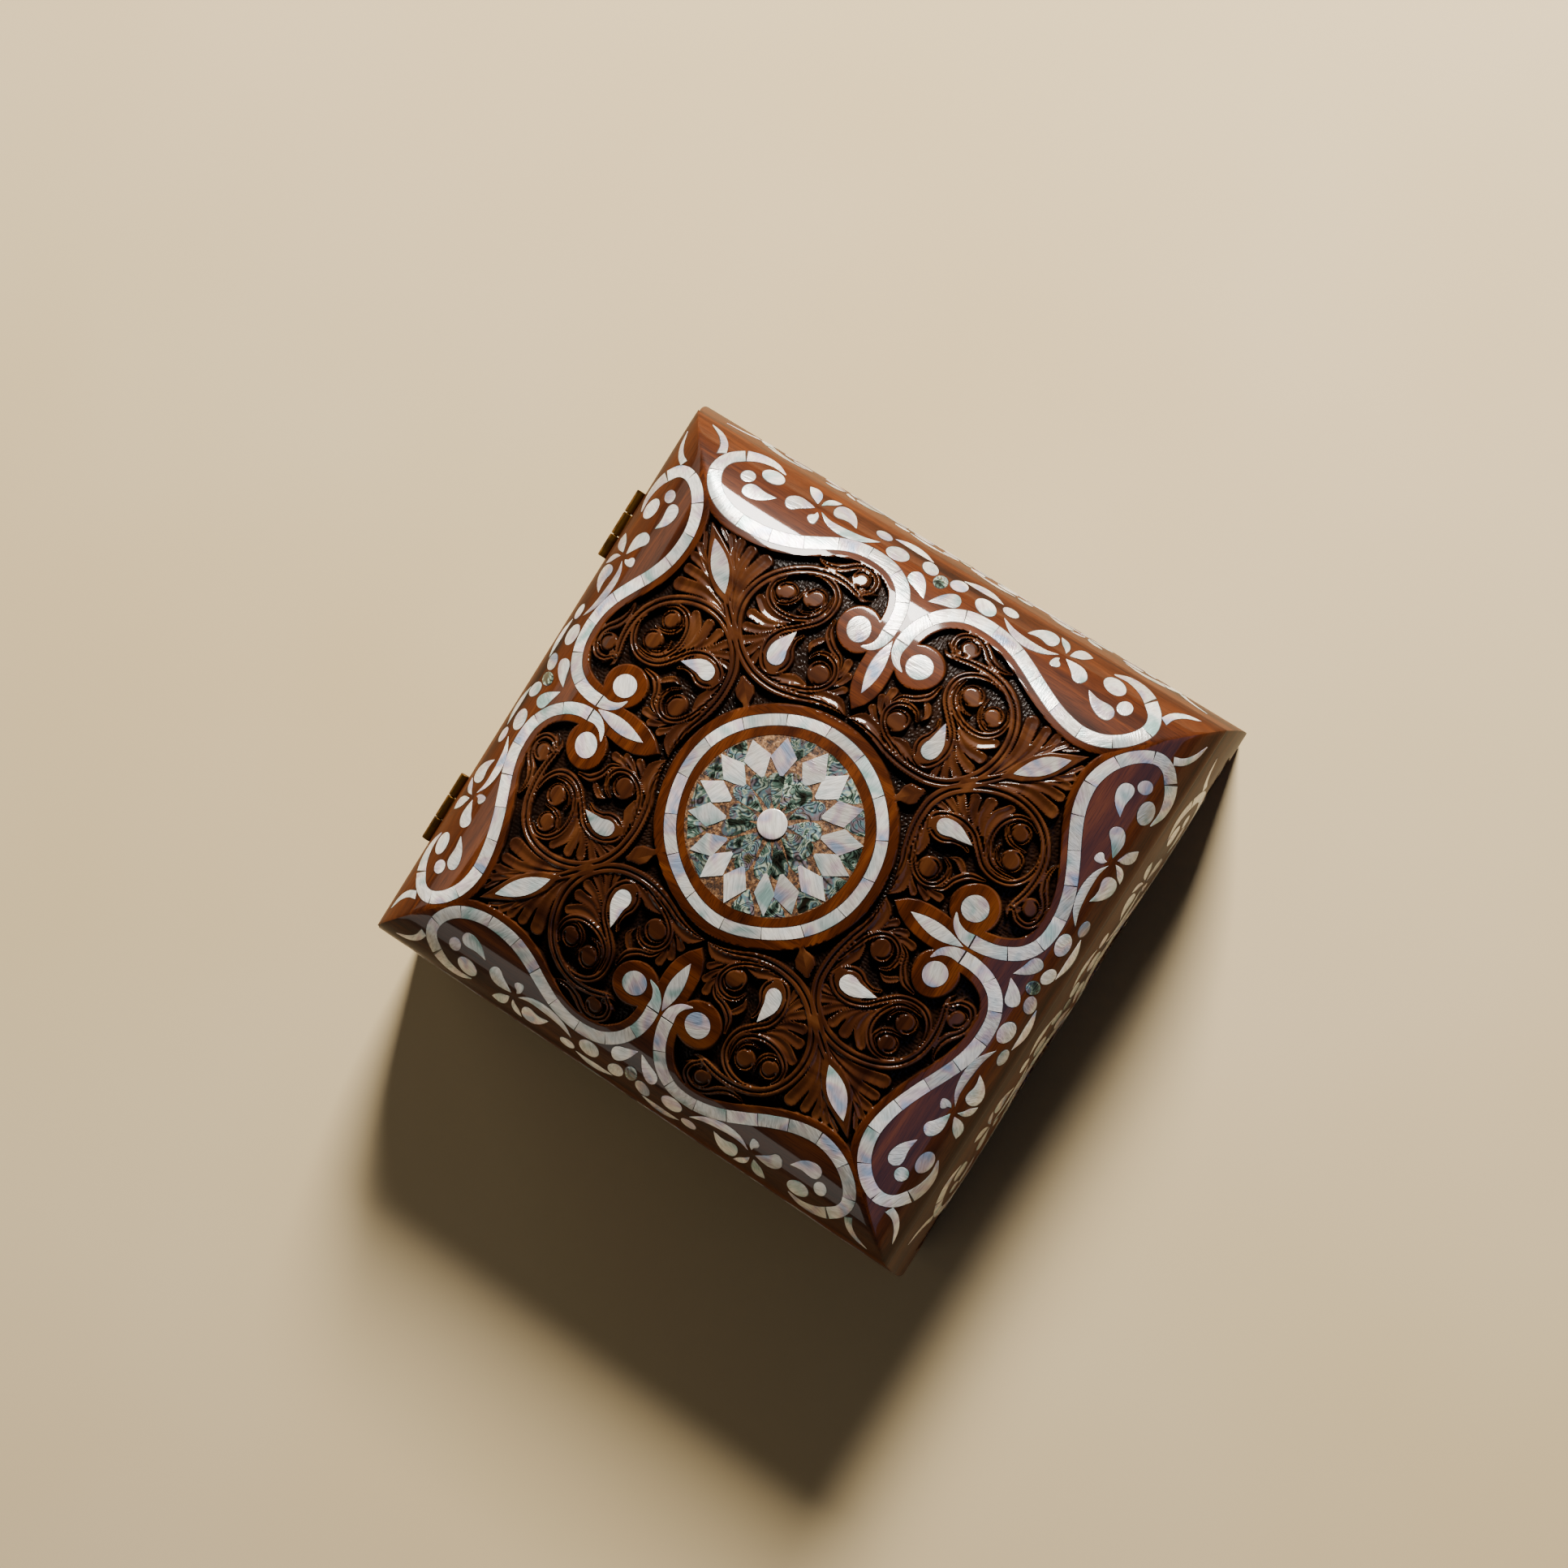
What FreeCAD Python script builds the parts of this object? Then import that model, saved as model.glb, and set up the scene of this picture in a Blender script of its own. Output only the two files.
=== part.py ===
import FreeCAD, Part
import math
import os

V = FreeCAD.Vector

# Driving dimensions, in millimetres. +Z is up, the origin is the centre of the base,
# and the front of the box faces -Y. The lid's hinges are at the back, +Y.
HALF = 100.0            # half the side of the square lid, and of the body at the seam
SEAM_Z = 72.0           # height of the joint between body and lid
FOOT_H = 1.5            # felt pad thickness
RIM_H = 2.0             # upright edge of the lid above the seam
DOME_RX = 101.0         # the lid's slope is part of an ellipse: half width
DOME_RZ = 42.2          # and half height
FLARE = 6.0             # how far the body walls swell out below the seam
FLARE_H = 40.0          # height over which they swell
INNER = 90.0            # half the inside width of the body
BOARD_T = 6.0           # bottom board
LINING_T = 2.0          # velvet on card
RAIL_IN = 71.0          # where the lid's mitred rails meet its carved centre board
RAIL_Z = 8.0            # depth of the lid's hollow
LID_INNER = 88.0        # half the width of the lid's hollow
PANEL_Z = 16.0          # underside of the centre board above the seam

INLAY_T = 1.2           # thickness of the shell inlays
POCKET_GAP = 0.15       # mastic around and under each inlay
CARVE_D = 2.4           # depth of the carved ground
STRIP_W = 4.1           # width of the shell strip
MARGIN = 4.75           # from the strip's centre line to the edge of the carving
JOINT = 0.25            # mastic joint between two tesserae
DRAW_SCALE = 0.92       # the wall pattern is this much shorter than the lid's

RING_IN, RING_OUT = 31.3, 35.0      # shell ring round the medallion
BOSS_R = 38.5                       # plain wood round the medallion
DISC_R = 28.0                       # abalone ground
BUTTON_R = 4.7
STAR = 16                           # kites, and tesserae in the ring
KITE_TIP, KITE_WAIST, KITE_TAIL = 27.3, 21.4, 15.4     # out from the middle
KITE_W = 3.85                       # half the width of a kite at its waist

HINGE_X = 55.0          # hinge centres, left and right of the middle
HINGE_L = 25.0
LEAF_T = 1.0
LEAF_IN = 90.5          # inner edge of the hinge leaves
AXIS_Y = 101.9          # hinge pin axis, at the height of the seam
KNUCKLE_R = 1.7
PIN_R = 0.7
PIN_GAP = 0.05

SIDES = {"front": 0, "right": 90, "back": 180, "left": 270}

# The pattern of one half of a side, as (t, r): t along the side from its middle, and r
# outwards from the centre of the lid. Every other half is this one turned or mirrored.
STRIP = [(2.7, 69.5), (3.0, 73.5), (4.6, 78.6), (8.2, 83.6), (13.8, 86.9), (20.0, 87.9),
         (26.5, 87.4), (32.5, 85.6), (38.8, 82.4), (45.0, 79.0), (51.5, 76.3),
         (57.5, 74.9), (63.8, 74.6), (70.0, 76.1), (75.0, 79.2), (78.3, 83.2),
         (79.6, 87.4), (78.6, 91.2), (75.6, 94.2)]
STRIP_HOOK = [(7.6, 61.2), (4.7, 63.0), (2.95, 66.0)]       # tapers below the cusp
STRIP_END = [(71.3, 96.3), (66.3, 96.9), (61.5, 95.8)]      # tapers along the rim
STRIP_TESSERAE = 10
TESSERA_STEPS = 6       # steps of the drawn path in one tessera,
STRIP_HOOK_STEPS = 6    # in the hook
STRIP_END_STEPS = 9     # and in the tapered end
FIELD_TIP = 70.7        # the carving's corner, on the diagonal
ROSETTE = (27.3, 55.2)
ROSETTE_IN, ROSETTE_OUT = 17.4, 20.4
SCROLL_DISC = (11.3, 65.1)
SCROLL_R = 4.0
COLLAR_R = 7.7          # plain wood round a scroll disc
CARVED_DISCS = [(29.0, 65.8, 3.7), (37.5, 63.8, 3.4), (14.5, 47.0, 3.9), (20.5, 78.5, 3.3)]
DROP = [(27.2, 53.8), (28.1, 50.0), (28.7, 46.5), (27.6, 41.8)]
DROP_W = 2.7
ALMOND = [(52.6, 52.6), (65.7, 65.7)]
ALMOND_W = 2.8
CUSP_LEAF = [(0.0, 68.0), (0.0, 49.3)]
CUSP_LEAF_W = 2.2
SPADE = [(0.0, 74.0), (0.0, 43.0)]
SPADE_W = 5.4

# The lower part of each wall, drawn as (t, z) with heights above the table.
FIELD_BASE_R = 44.0     # lowest edge of the wall's carving, in the lid pattern's terms
FIELD_SIDE = 95.0       # the carving stops short of the wall's corner
WALL_ROSETTE = (33.0, 24.0)
WALL_ROSETTE_IN, WALL_ROSETTE_OUT = 11.4, 13.2
WALL_DROP = [(31.0, 31.5), (32.2, 28.5), (33.0, 25.0), (32.0, 19.5)]
WALL_ALMOND = [(69.0, 13.0), (81.5, 30.0)]
WALL_ALMOND_W = 2.4
PLANE_Y = -120.0        # the wall patterns are drawn on an upright plane in front


# ---------------------------------------------------------------- outlines
# An outline is a list of runs. A run is (kind, points): a straight "line", an open
# "curve" through its points, or a closed "loop".

def leaf(u):
    return math.sin(math.pi * u) ** 0.9


def horn(u):
    return (1.0 - u) ** 0.7


def even(u):
    return 1.0


def tear(u):
    return u ** 0.9 * math.sqrt(max(0.0, 1.0 - u ** 4)) / 0.64


def spline(points, closed=False):
    curve = Part.BSplineCurve()
    curve.interpolate(Points=points, PeriodicFlag=closed)
    return curve


def spine(knots, count):
    return spline([V(t, r, 0) for t, r in knots]).discretize(Number=count)


def beside(path, halves):
    """Points to the left and right of a path, at the given half widths."""
    left, right = [], []
    last = len(path) - 1
    for i, point in enumerate(path):
        along = (path[min(i + 1, last)] - path[max(i - 1, 0)]).normalize()
        across = V(-along.y, along.x, 0)
        left.append(point + across * halves[i])
        right.append(point - across * halves[i])
    return left, right


def blade(path, width, law, grow):
    """A law for the half width, carried along a path and closed at both ends."""
    path = list(path)
    last = len(path) - 1
    halves = [width * law(i / last) + grow for i in range(last + 1)]
    halves[0] *= law(0.0) > 0.01
    halves[last] *= law(1.0) > 0.01
    path[0] += (path[0] - path[1]).normalize() * grow
    path[last] += (path[last] - path[last - 1]).normalize() * grow
    left, right = beside(path, halves)
    right.reverse()
    if law is tear:
        return [("curve", left + right[1:])]
    runs = [("curve", left)]
    if halves[last] > 0:
        runs.append(("line", [left[-1], right[0]]))
    runs.append(("curve", right))
    if halves[0] > 0:
        runs.append(("line", [right[-1], left[0]]))
    return runs


def ribbon(knots, width, law, grow=0.0, count=9):
    return blade(spine(knots, count), width, law, grow)


def oval(t, r, long, wide, turn=0.0, grow=0.0):
    points = []
    for i in range(12):
        a = 2 * math.pi * i / 12
        p = V((long / 2 + grow) * math.cos(a), (wide / 2 + grow) * math.sin(a), 0)
        c, s = math.cos(math.radians(turn)), math.sin(math.radians(turn))
        points.append(V(t + p.x * c - p.y * s, r + p.x * s + p.y * c, 0))
    return [("loop", points)]


def disc(t, r, radius, grow=0.0):
    return oval(t, r, 2 * radius, 2 * radius, 0.0, grow)


def polygon(points):
    closed = points + points[:1]
    return [("line", [a, b]) for a, b in zip(closed, closed[1:])]


def both(outlines):
    """The outlines and their mirror images on the other side of the middle."""
    flip = [[(kind, [V(-p.x, p.y, 0) for p in points]) for kind, points in outline]
            for outline in outlines]
    return outlines + flip


def strip_outlines(cuts, grow=0.0):
    """Outlines of the strip between the given steps of its path, with joints between."""
    steps = STRIP_HOOK_STEPS + STRIP_TESSERAE * TESSERA_STEPS + STRIP_END_STEPS
    path = spine(STRIP_HOOK + STRIP + STRIP_END, steps + 1)
    halves = []
    for i in range(steps + 1):
        taper = min(1.0, i / STRIP_HOOK_STEPS, (steps - i) / STRIP_END_STEPS) ** 0.7
        halves.append((STRIP_W / 2) * taper + grow * (taper > 0))
    left, right = beside(path, halves)
    outlines = []
    for first, last in zip(cuts, cuts[1:]):
        runs = []
        for edge in (left, right):
            piece = edge[first:last + 1]
            if first > 0:
                piece[0] = piece[0] + (piece[1] - piece[0]).normalize() * JOINT
            runs.append(("curve", piece))
        runs[1][1].reverse()
        if last < steps:
            runs.insert(1, ("line", [runs[0][1][-1], runs[1][1][0]]))
        if first > 0:
            runs.append(("line", [runs[-1][1][-1], runs[0][1][0]]))
        outlines.append(runs)
    return both(outlines)


def strip_pieces():
    """The tapered hook below the cusp, the tesserae, and the tapered end."""
    last = STRIP_HOOK_STEPS + STRIP_TESSERAE * TESSERA_STEPS
    joints = list(range(STRIP_HOOK_STEPS, last + 1, TESSERA_STEPS))
    return strip_outlines([0] + joints + [last + STRIP_END_STEPS])


def strip_groove():
    """The groove that the whole strip is bedded in."""
    last = STRIP_HOOK_STEPS + STRIP_TESSERAE * TESSERA_STEPS + STRIP_END_STEPS
    return strip_outlines([0, last], POCKET_GAP)


def vine_pieces(grow=0.0):
    """Shell flower, ovals, stems, leaves and drops on the smooth border."""
    return both([
        ribbon([(7.6, 89.9), (4.4, 87.9), (0.9, 84.4)], 1.8, horn, grow),
        oval(5.1, 93.1, 5.4, 3.8, 15, grow),
        oval(16.2, 92.6, 7.2, 4.3, -5, grow),
        ribbon([(5.6, 96.6), (10.5, 97.3), (15.5, 97.4), (20.2, 96.7)], 0.7, leaf, grow),
        oval(23.6, 95.5, 5.2, 2.3, 0, grow),
        ribbon([(23.0, 92.9), (28.0, 90.5), (34.0, 89.4), (40.0, 89.7), (44.2, 91.4)],
               1.0, leaf, grow),
        ribbon([(31.9, 92.5), (34.6, 94.3), (37.6, 95.0), (41.4, 94.4)], 2.0, tear, grow),
        ribbon([(45.6, 93.2), (44.5, 95.4), (41.2, 97.5)], 0.8, leaf, grow),
        ribbon([(47.0, 93.0), (49.2, 95.4), (53.0, 96.9)], 1.3, leaf, grow),
        ribbon([(46.8, 91.4), (49.6, 90.7), (52.4, 89.6), (54.6, 87.2)], 2.0, tear, grow),
        ribbon([(45.0, 90.6), (44.6, 89.2), (45.4, 87.0)], 1.3, tear, grow),
        oval(63.8, 92.6, 7.2, 4.6, -4, grow),
        ribbon([(58.2, 86.7), (61.8, 84.5), (65.0, 84.0), (68.2, 84.4)], 2.1, tear, grow),
        oval(70.0, 88.2, 4.3, 3.9, 30, grow),
        ribbon([(81.9, 91.0), (83.6, 93.9), (87.0, 96.2), (91.8, 97.6)], 1.3, horn, grow),
    ])


def eye_pieces(grow=0.0):
    return [disc(0.0, 92.4, 1.9, grow)]


def scroll_discs(grow=0.0):
    return both([disc(*SCROLL_DISC, SCROLL_R, grow)])


def cusp_leaf(grow=0.0):
    return [ribbon(CUSP_LEAF, CUSP_LEAF_W, leaf, grow)]


def lid_drops(grow=0.0):
    return both([ribbon(DROP, DROP_W, tear, grow)])


def lid_almond(grow=0.0):
    return [ribbon(ALMOND, ALMOND_W, leaf, grow)]


def wall_drops(grow=0.0):
    return both([ribbon(WALL_DROP, DROP_W * 0.8, tear, grow)])


def wall_almonds(grow=0.0):
    return both([ribbon(WALL_ALMOND, WALL_ALMOND_W, leaf, grow)])


def ring_pieces():
    step = 2 * math.pi / STAR
    gap = JOINT / (RING_IN + RING_OUT)
    pieces = []
    for i in range(STAR):
        a0, a1 = i * step + gap, (i + 1) * step - gap
        outer = [polar(RING_OUT, a0 + (a1 - a0) * k / 4) for k in range(5)]
        inner = [polar(RING_IN, a1 - (a1 - a0) * k / 4) for k in range(5)]
        pieces.append([("curve", outer), ("line", [outer[-1], inner[0]]),
                       ("curve", inner), ("line", [inner[-1], outer[0]])])
    return pieces


def kite_pieces(grow=0.0):
    """The star of shell kites: tips near the ring, waists almost touching."""
    pieces = []
    for i in range(STAR):
        a = 2 * math.pi * i / STAR
        waist = (KITE_W + grow) / KITE_WAIST
        pieces.append(polygon([polar(KITE_TIP + grow, a), polar(KITE_WAIST, a + waist),
                               polar(KITE_TAIL - 2 * grow, a),
                               polar(KITE_WAIST, a - waist)]))
    return pieces


def polar(radius, angle):
    return V(radius * math.sin(angle), radius * math.cos(angle), 0)


# ---------------------------------------------------------------- solids

def slope_height(r):
    """Height of the lid's slope above the seam, r out from the centre."""
    def bow(x):
        return math.sqrt(1.0 - (x / DOME_RX) ** 2)
    return RIM_H + DOME_RZ * (bow(r) - bow(HALF))


def wall_z(r):
    """Height on the wall that answers to r on the lid: the pattern turned over the seam."""
    steps = 40
    length = RIM_H
    for i in range(steps):
        r0 = HALF - (HALF - r) * i / steps
        r1 = HALF - (HALF - r) * (i + 1) / steps
        length += math.hypot(r0 - r1, slope_height(r1) - slope_height(r0))
    return SEAM_Z - DRAW_SCALE * length


def on_lid(p):
    return V(p.x, -p.y, SEAM_Z)


def on_wall(p):
    return V(p.x, PLANE_Y, wall_z(p.y))


def on_wall_low(p):
    return V(p.x, PLANE_Y, p.y)


def face_of(outline, plot):
    edges = []
    for kind, points in outline:
        placed = [plot(p) for p in points]
        if kind == "line":
            edges.append(Part.makeLine(*placed))
        else:
            edges.append(spline(placed, kind == "loop").toShape())
    return Part.Face(Part.Wire(Part.__sortEdges__(edges)))


def prisms(outlines, plot):
    push = V(0, 0, 60) if plot is on_lid else V(0, 60, 0)
    return [face_of(o, plot).extrude(push) for o in outlines]


def dome_side(angle):
    """All that lies under one pair of the lid's slopes, cut off at the seam."""
    top = SEAM_Z + RIM_H
    centre = V(0, 0, SEAM_Z + slope_height(HALF) - DOME_RZ * math.sqrt(
        1.0 - (HALF / DOME_RX) ** 2))
    ellipse = Part.Ellipse(centre + V(0, DOME_RX, 0), centre + V(0, 0, DOME_RZ), centre)
    edge = math.acos(HALF / DOME_RX)
    arc = Part.ArcOfEllipse(ellipse, edge, math.pi - edge).toShape()
    corners = [V(0, -HALF, top), V(0, -HALF, SEAM_Z), V(0, HALF, SEAM_Z), V(0, HALF, top)]
    lines = [Part.makeLine(a, b) for a, b in zip(corners, corners[1:])]
    face = Part.Face(Part.Wire(Part.__sortEdges__([arc] + lines)))
    face.translate(V(-HALF, 0, 0))
    return turned(face.extrude(V(2 * HALF, 0, 0)), angle)


def wall_block():
    """A front wall before its mitres are cut."""
    arc_r = (FLARE_H ** 2 + FLARE ** 2) / (2 * FLARE)
    out, low = HALF + FLARE, SEAM_Z - FLARE_H
    sweep = math.asin(FLARE_H / arc_r) / 2
    middle = V(0, -(out - arc_r + arc_r * math.cos(sweep)), low + arc_r * math.sin(sweep))
    arc = Part.Arc(V(0, -out, low), middle, V(0, -HALF, SEAM_Z)).toShape()
    corners = [V(0, -HALF, SEAM_Z), V(0, -INNER, SEAM_Z), V(0, -INNER, FOOT_H),
               V(0, -out, FOOT_H), V(0, -out, low)]
    lines = [Part.makeLine(a, b) for a, b in zip(corners, corners[1:])]
    face = Part.Face(Part.Wire(Part.__sortEdges__([arc] + lines)))
    face.translate(V(-HALF - FLARE, 0, 0))
    return face.extrude(V(2 * (HALF + FLARE), 0, 0))


def mitred(block):
    """The part of a front piece that lies between the two diagonals."""
    reach = 130.0
    corner = Part.makePolygon([V(0, 0, 0), V(reach, -reach, 0), V(-reach, -reach, 0),
                               V(0, 0, 0)])
    return block.common(Part.Face(corner).extrude(V(0, 0, reach)))


def box(x0, x1, y0, y1, z0, z1):
    return Part.makeBox(x1 - x0, y1 - y0, z1 - z0, V(x0, y0, z0))


def turned(shape, angle):
    copy = shape.copy()
    copy.rotate(V(0, 0, 0), V(0, 0, 1), angle)
    return copy


def all_round(shapes):
    return [turned(shape, angle) for angle in SIDES.values() for shape in shapes]


def moved(shape, x=0.0, y=0.0, z=0.0):
    copy = shape.copy()
    copy.translate(V(x, y, z))
    return copy


def inlay(outlines, plot, block):
    """The outlines as shell pieces, as thick as INLAY_T, flush with the block's face."""
    sink = moved(block, z=-INLAY_T) if plot is on_lid else moved(block, y=INLAY_T)
    return [prism.common(block).cut(sink) for prism in prisms(outlines, plot)]


def pockets(outlines, plot, block, depth):
    """Tools that cut the outlines to a depth below the block's face."""
    sink = moved(block, z=-depth) if plot is on_lid else moved(block, y=depth)
    return [prism.cut(sink) for prism in prisms(outlines, plot)]


def save(name, shapes):
    solids = [solid for shape in shapes for solid in shape.Solids]
    result = solids[0] if len(solids) == 1 else Part.makeCompound(solids)
    print(name, len(solids), "valid" if result.isValid() else "NOT VALID")
    result.exportStep(f"parts/{name}.step")


# ---------------------------------------------------------------- carved ground

def islands():
    """What stays at full height inside the lid's carving, for one side."""
    shapes = both([disc(*SCROLL_DISC, COLLAR_R)] + [disc(*d) for d in CARVED_DISCS]
                  + [ribbon(DROP, DROP_W, tear, 1.3)])
    shapes.append(ribbon(SPADE, SPADE_W, leaf))
    shapes.append(ribbon(ALMOND, ALMOND_W, leaf, 1.6))
    return prisms(shapes, on_lid) + rings(ROSETTE, ROSETTE_OUT, ROSETTE_IN, on_lid)


def rings(centre, outer, inner, plot):
    """A raised ring on each side of the middle."""
    return [a.cut(b) for a, b in zip(prisms(both([disc(*centre, outer)]), plot),
                                     prisms(both([disc(*centre, inner)]), plot))]


def half_edge(stop):
    """The carving's edge beside the strip, from the cusp to the given knot of its path."""
    path = spine(STRIP, 37)[2:stop]
    return beside(path, [MARGIN] * len(path))[1]


def lid_ground():
    """The sunk ground of the lid's carving, as one tool for all the wood of the lid."""
    half = [p for p in half_edge(27) if p.y > p.x + 3.0] + [V(FIELD_TIP, FIELD_TIP, 0)]
    mirror = [V(-p.x, p.y, 0) for p in reversed(half)]
    outline = []
    for turn in SIDES.values():
        spin = FreeCAD.Rotation(V(0, 0, 1), -turn)
        outline.append(("curve", [spin.multVec(p) for p in mirror]))
        outline.append(("line", [spin.multVec(mirror[-1]), spin.multVec(half[0])]))
        outline.append(("curve", [spin.multVec(p) for p in half]))
    boss = Part.makeCylinder(BOSS_R, 60, V(0, 0, SEAM_Z))
    field = prisms([outline], on_lid)[0].cut(moved(vault, z=-CARVE_D))
    return field.cut(all_round(islands()) + [boss])


def wall_ground(block):
    """The sunk ground of a wall's carving."""
    edge = half_edge(31)
    corner = [V(FIELD_SIDE, 91.0, 0), V(FIELD_SIDE, FIELD_BASE_R, 0)]
    mirror = [V(-p.x, p.y, 0) for p in reversed(edge)]
    flip = [V(-p.x, p.y, 0) for p in corner]
    outline = [("curve", mirror), ("line", [mirror[-1], edge[0]]), ("curve", edge),
               ("line", [edge[-1], corner[0]]), ("line", corner),
               ("line", [corner[1], flip[1]]), ("line", [flip[1], flip[0]]),
               ("line", [flip[0], mirror[0]])]
    stays = prisms(both([disc(*SCROLL_DISC, COLLAR_R)]) + [ribbon(SPADE, SPADE_W, leaf)],
                   on_wall)
    stays += rings(WALL_ROSETTE, WALL_ROSETTE_OUT, WALL_ROSETTE_IN, on_wall_low)
    stays += prisms(both([ribbon(WALL_DROP, DROP_W * 0.8, tear, 1.3),
                          ribbon(WALL_ALMOND, WALL_ALMOND_W, leaf, 1.5)]), on_wall_low)
    return prisms([outline], on_wall)[0].cut(moved(block, y=CARVE_D)).cut(stays)


# ---------------------------------------------------------------- hinges

def hinge_leaf(z0, spans):
    """A brass leaf let into the seam, with its knuckles over the given spans of x."""
    gap = 0.2
    plate = box(-HINGE_L / 2, HINGE_L / 2, LEAF_IN, AXIS_Y - KNUCKLE_R - gap, z0, z0 + LEAF_T)
    for x0, x1 in spans:
        plate = plate.fuse(box(x0, x1, AXIS_Y - KNUCKLE_R - 1.0, AXIS_Y, z0, z0 + LEAF_T))
        plate = plate.fuse(Part.makeCylinder(KNUCKLE_R, x1 - x0, V(x0, AXIS_Y, SEAM_Z),
                                             V(1, 0, 0)))
    bore = Part.makeCylinder(PIN_R + PIN_GAP, HINGE_L, V(-HINGE_L / 2, AXIS_Y, SEAM_Z),
                             V(1, 0, 0))
    return plate.cut(bore)


def screw(x, y, z, down):
    """A small countersunk screw, its head against the seam side of the leaf."""
    way = V(0, 0, -1 if down else 1)
    head_h, head_r, shank_r, length = 0.9, 1.9, 0.9, 8.0
    start = V(x, y, z)
    head = Part.makeCone(head_r, shank_r, head_h, start, way)
    shank = Part.makeCylinder(shank_r, length, start, way)
    slot = box(x - 2, x + 2, y - 0.2, y + 0.2, z - 0.3, z + 0.3)
    return head.fuse(shank).cut(slot)


def screw_hole(x, y, z, down):
    """Clearance for one screw, through the leaf and into the wood."""
    way = V(0, 0, -1 if down else 1)
    start = V(x, y, z)
    return Part.makeCone(2.0, 1.0, 1.0, start, way).fuse(
        Part.makeCylinder(1.0, 8.3, start, way))


# ---------------------------------------------------------------- the lid

os.makedirs("parts", exist_ok=True)
vault = dome_side(0).common(dome_side(90))
slope = dome_side(0)

hollow = box(-LID_INNER, LID_INNER, -LID_INNER, LID_INNER, SEAM_Z, SEAM_Z + RAIL_Z)
centre = box(-RAIL_IN, RAIL_IN, -RAIL_IN, RAIL_IN, SEAM_Z, SEAM_Z + 60)
ground = lid_ground()
border_cuts = strip_groove() + vine_pieces(POCKET_GAP) + eye_pieces(POCKET_GAP)
centre_cuts = scroll_discs(POCKET_GAP) + cusp_leaf(POCKET_GAP) + lid_drops(POCKET_GAP)
depth = INLAY_T + POCKET_GAP

rail = mitred(slope).cut([hollow, centre, ground])
rail = rail.cut(pockets(border_cuts, on_lid, slope, depth))

panel = vault.common(centre).cut(box(-HALF, HALF, -HALF, HALF, SEAM_Z, SEAM_Z + PANEL_Z))
panel = panel.cut(ground)
panel = panel.cut(all_round(pockets(centre_cuts + strip_groove(), on_lid, slope, depth)
                            + pockets(lid_almond(POCKET_GAP), on_lid, vault, depth)))
ring_tool = Part.makeCylinder(RING_OUT + POCKET_GAP, 60, V(0, 0, SEAM_Z)).cut(
    Part.makeCylinder(RING_IN - POCKET_GAP, 60, V(0, 0, SEAM_Z)))
disc_tool = Part.makeCylinder(DISC_R + POCKET_GAP, 60, V(0, 0, SEAM_Z))
panel = panel.cut([tool.cut(moved(vault, z=-depth)) for tool in (ring_tool, disc_tool)])
save("lid_panel", [panel])

save("ring_tesserae", inlay(ring_pieces(), on_lid, vault))
save("star_kites", inlay(kite_pieces(), on_lid, vault))
button_hole = Part.makeCylinder(BUTTON_R + POCKET_GAP, 60, V(0, 0, SEAM_Z))
abalone = Part.makeCylinder(DISC_R, 60, V(0, 0, SEAM_Z)).cut(button_hole)
abalone = abalone.cut(prisms(kite_pieces(POCKET_GAP), on_lid))
save("abalone_ground", [abalone.common(vault).cut(moved(vault, z=-INLAY_T))])
apex = SEAM_Z + slope_height(0.0)
button = Part.makeCylinder(BUTTON_R, INLAY_T, V(0, 0, apex - INLAY_T))
save("pearl_button", [button.makeFillet(0.3, [button.Edges[0]])])
save("scroll_discs", all_round(inlay(scroll_discs(), on_lid, slope)))
save("cusp_leaves", all_round(inlay(cusp_leaf(), on_lid, slope)))
save("rosette_drops", all_round(inlay(lid_drops(), on_lid, slope)))
save("corner_almonds", all_round(inlay(lid_almond(), on_lid, vault)))
save("lid_flower_eyes", all_round(inlay(eye_pieces(), on_lid, slope)))
save("lid_lining", [box(-LID_INNER, LID_INNER, -LID_INNER, LID_INNER,
                        SEAM_Z + RAIL_Z - LINING_T, SEAM_Z + RAIL_Z)])

lid_strip = inlay(strip_pieces(), on_lid, slope)
lid_vine = inlay(vine_pieces(), on_lid, slope)

# ---------------------------------------------------------------- the body

block = wall_block()
wall_cuts = border_cuts + scroll_discs(POCKET_GAP) + cusp_leaf(POCKET_GAP)
low_cuts = wall_drops(POCKET_GAP) + wall_almonds(POCKET_GAP)
wall = mitred(block).cut(wall_ground(block))
wall = wall.cut(pockets(wall_cuts, on_wall, block, depth)
                + pockets(low_cuts, on_wall_low, block, depth))
wall_strip = inlay(strip_pieces(), on_wall, block)
wall_vine = inlay(vine_pieces(), on_wall, block)
save("wall_discs", all_round(inlay(scroll_discs(), on_wall, block)))
save("wall_leaves", all_round(inlay(cusp_leaf(), on_wall, block)))
save("wall_drops", all_round(inlay(wall_drops(), on_wall_low, block)))
save("wall_almonds", all_round(inlay(wall_almonds(), on_wall_low, block)))
save("wall_flower_eyes", all_round(inlay(eye_pieces(), on_wall, block)))

floor_z = FOOT_H + BOARD_T
save("bottom_board", [box(-INNER, INNER, -INNER, INNER, FOOT_H, floor_z)])
cloth = INNER - LINING_T
save("floor_lining", [box(-cloth, cloth, -cloth, cloth, floor_z, floor_z + LINING_T)])
side_lining = mitred(box(-INNER, INNER, -INNER, -cloth, floor_z, SEAM_Z - LINING_T))
pad_r, pad_at = 7.0, 96.0
save("felt_feet", [Part.makeCylinder(pad_r, FOOT_H, V(pad_at * x, pad_at * y, 0))
                   for x in (-1, 1) for y in (-1, 1)])

# ---------------------------------------------------------------- hinges and back

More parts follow.
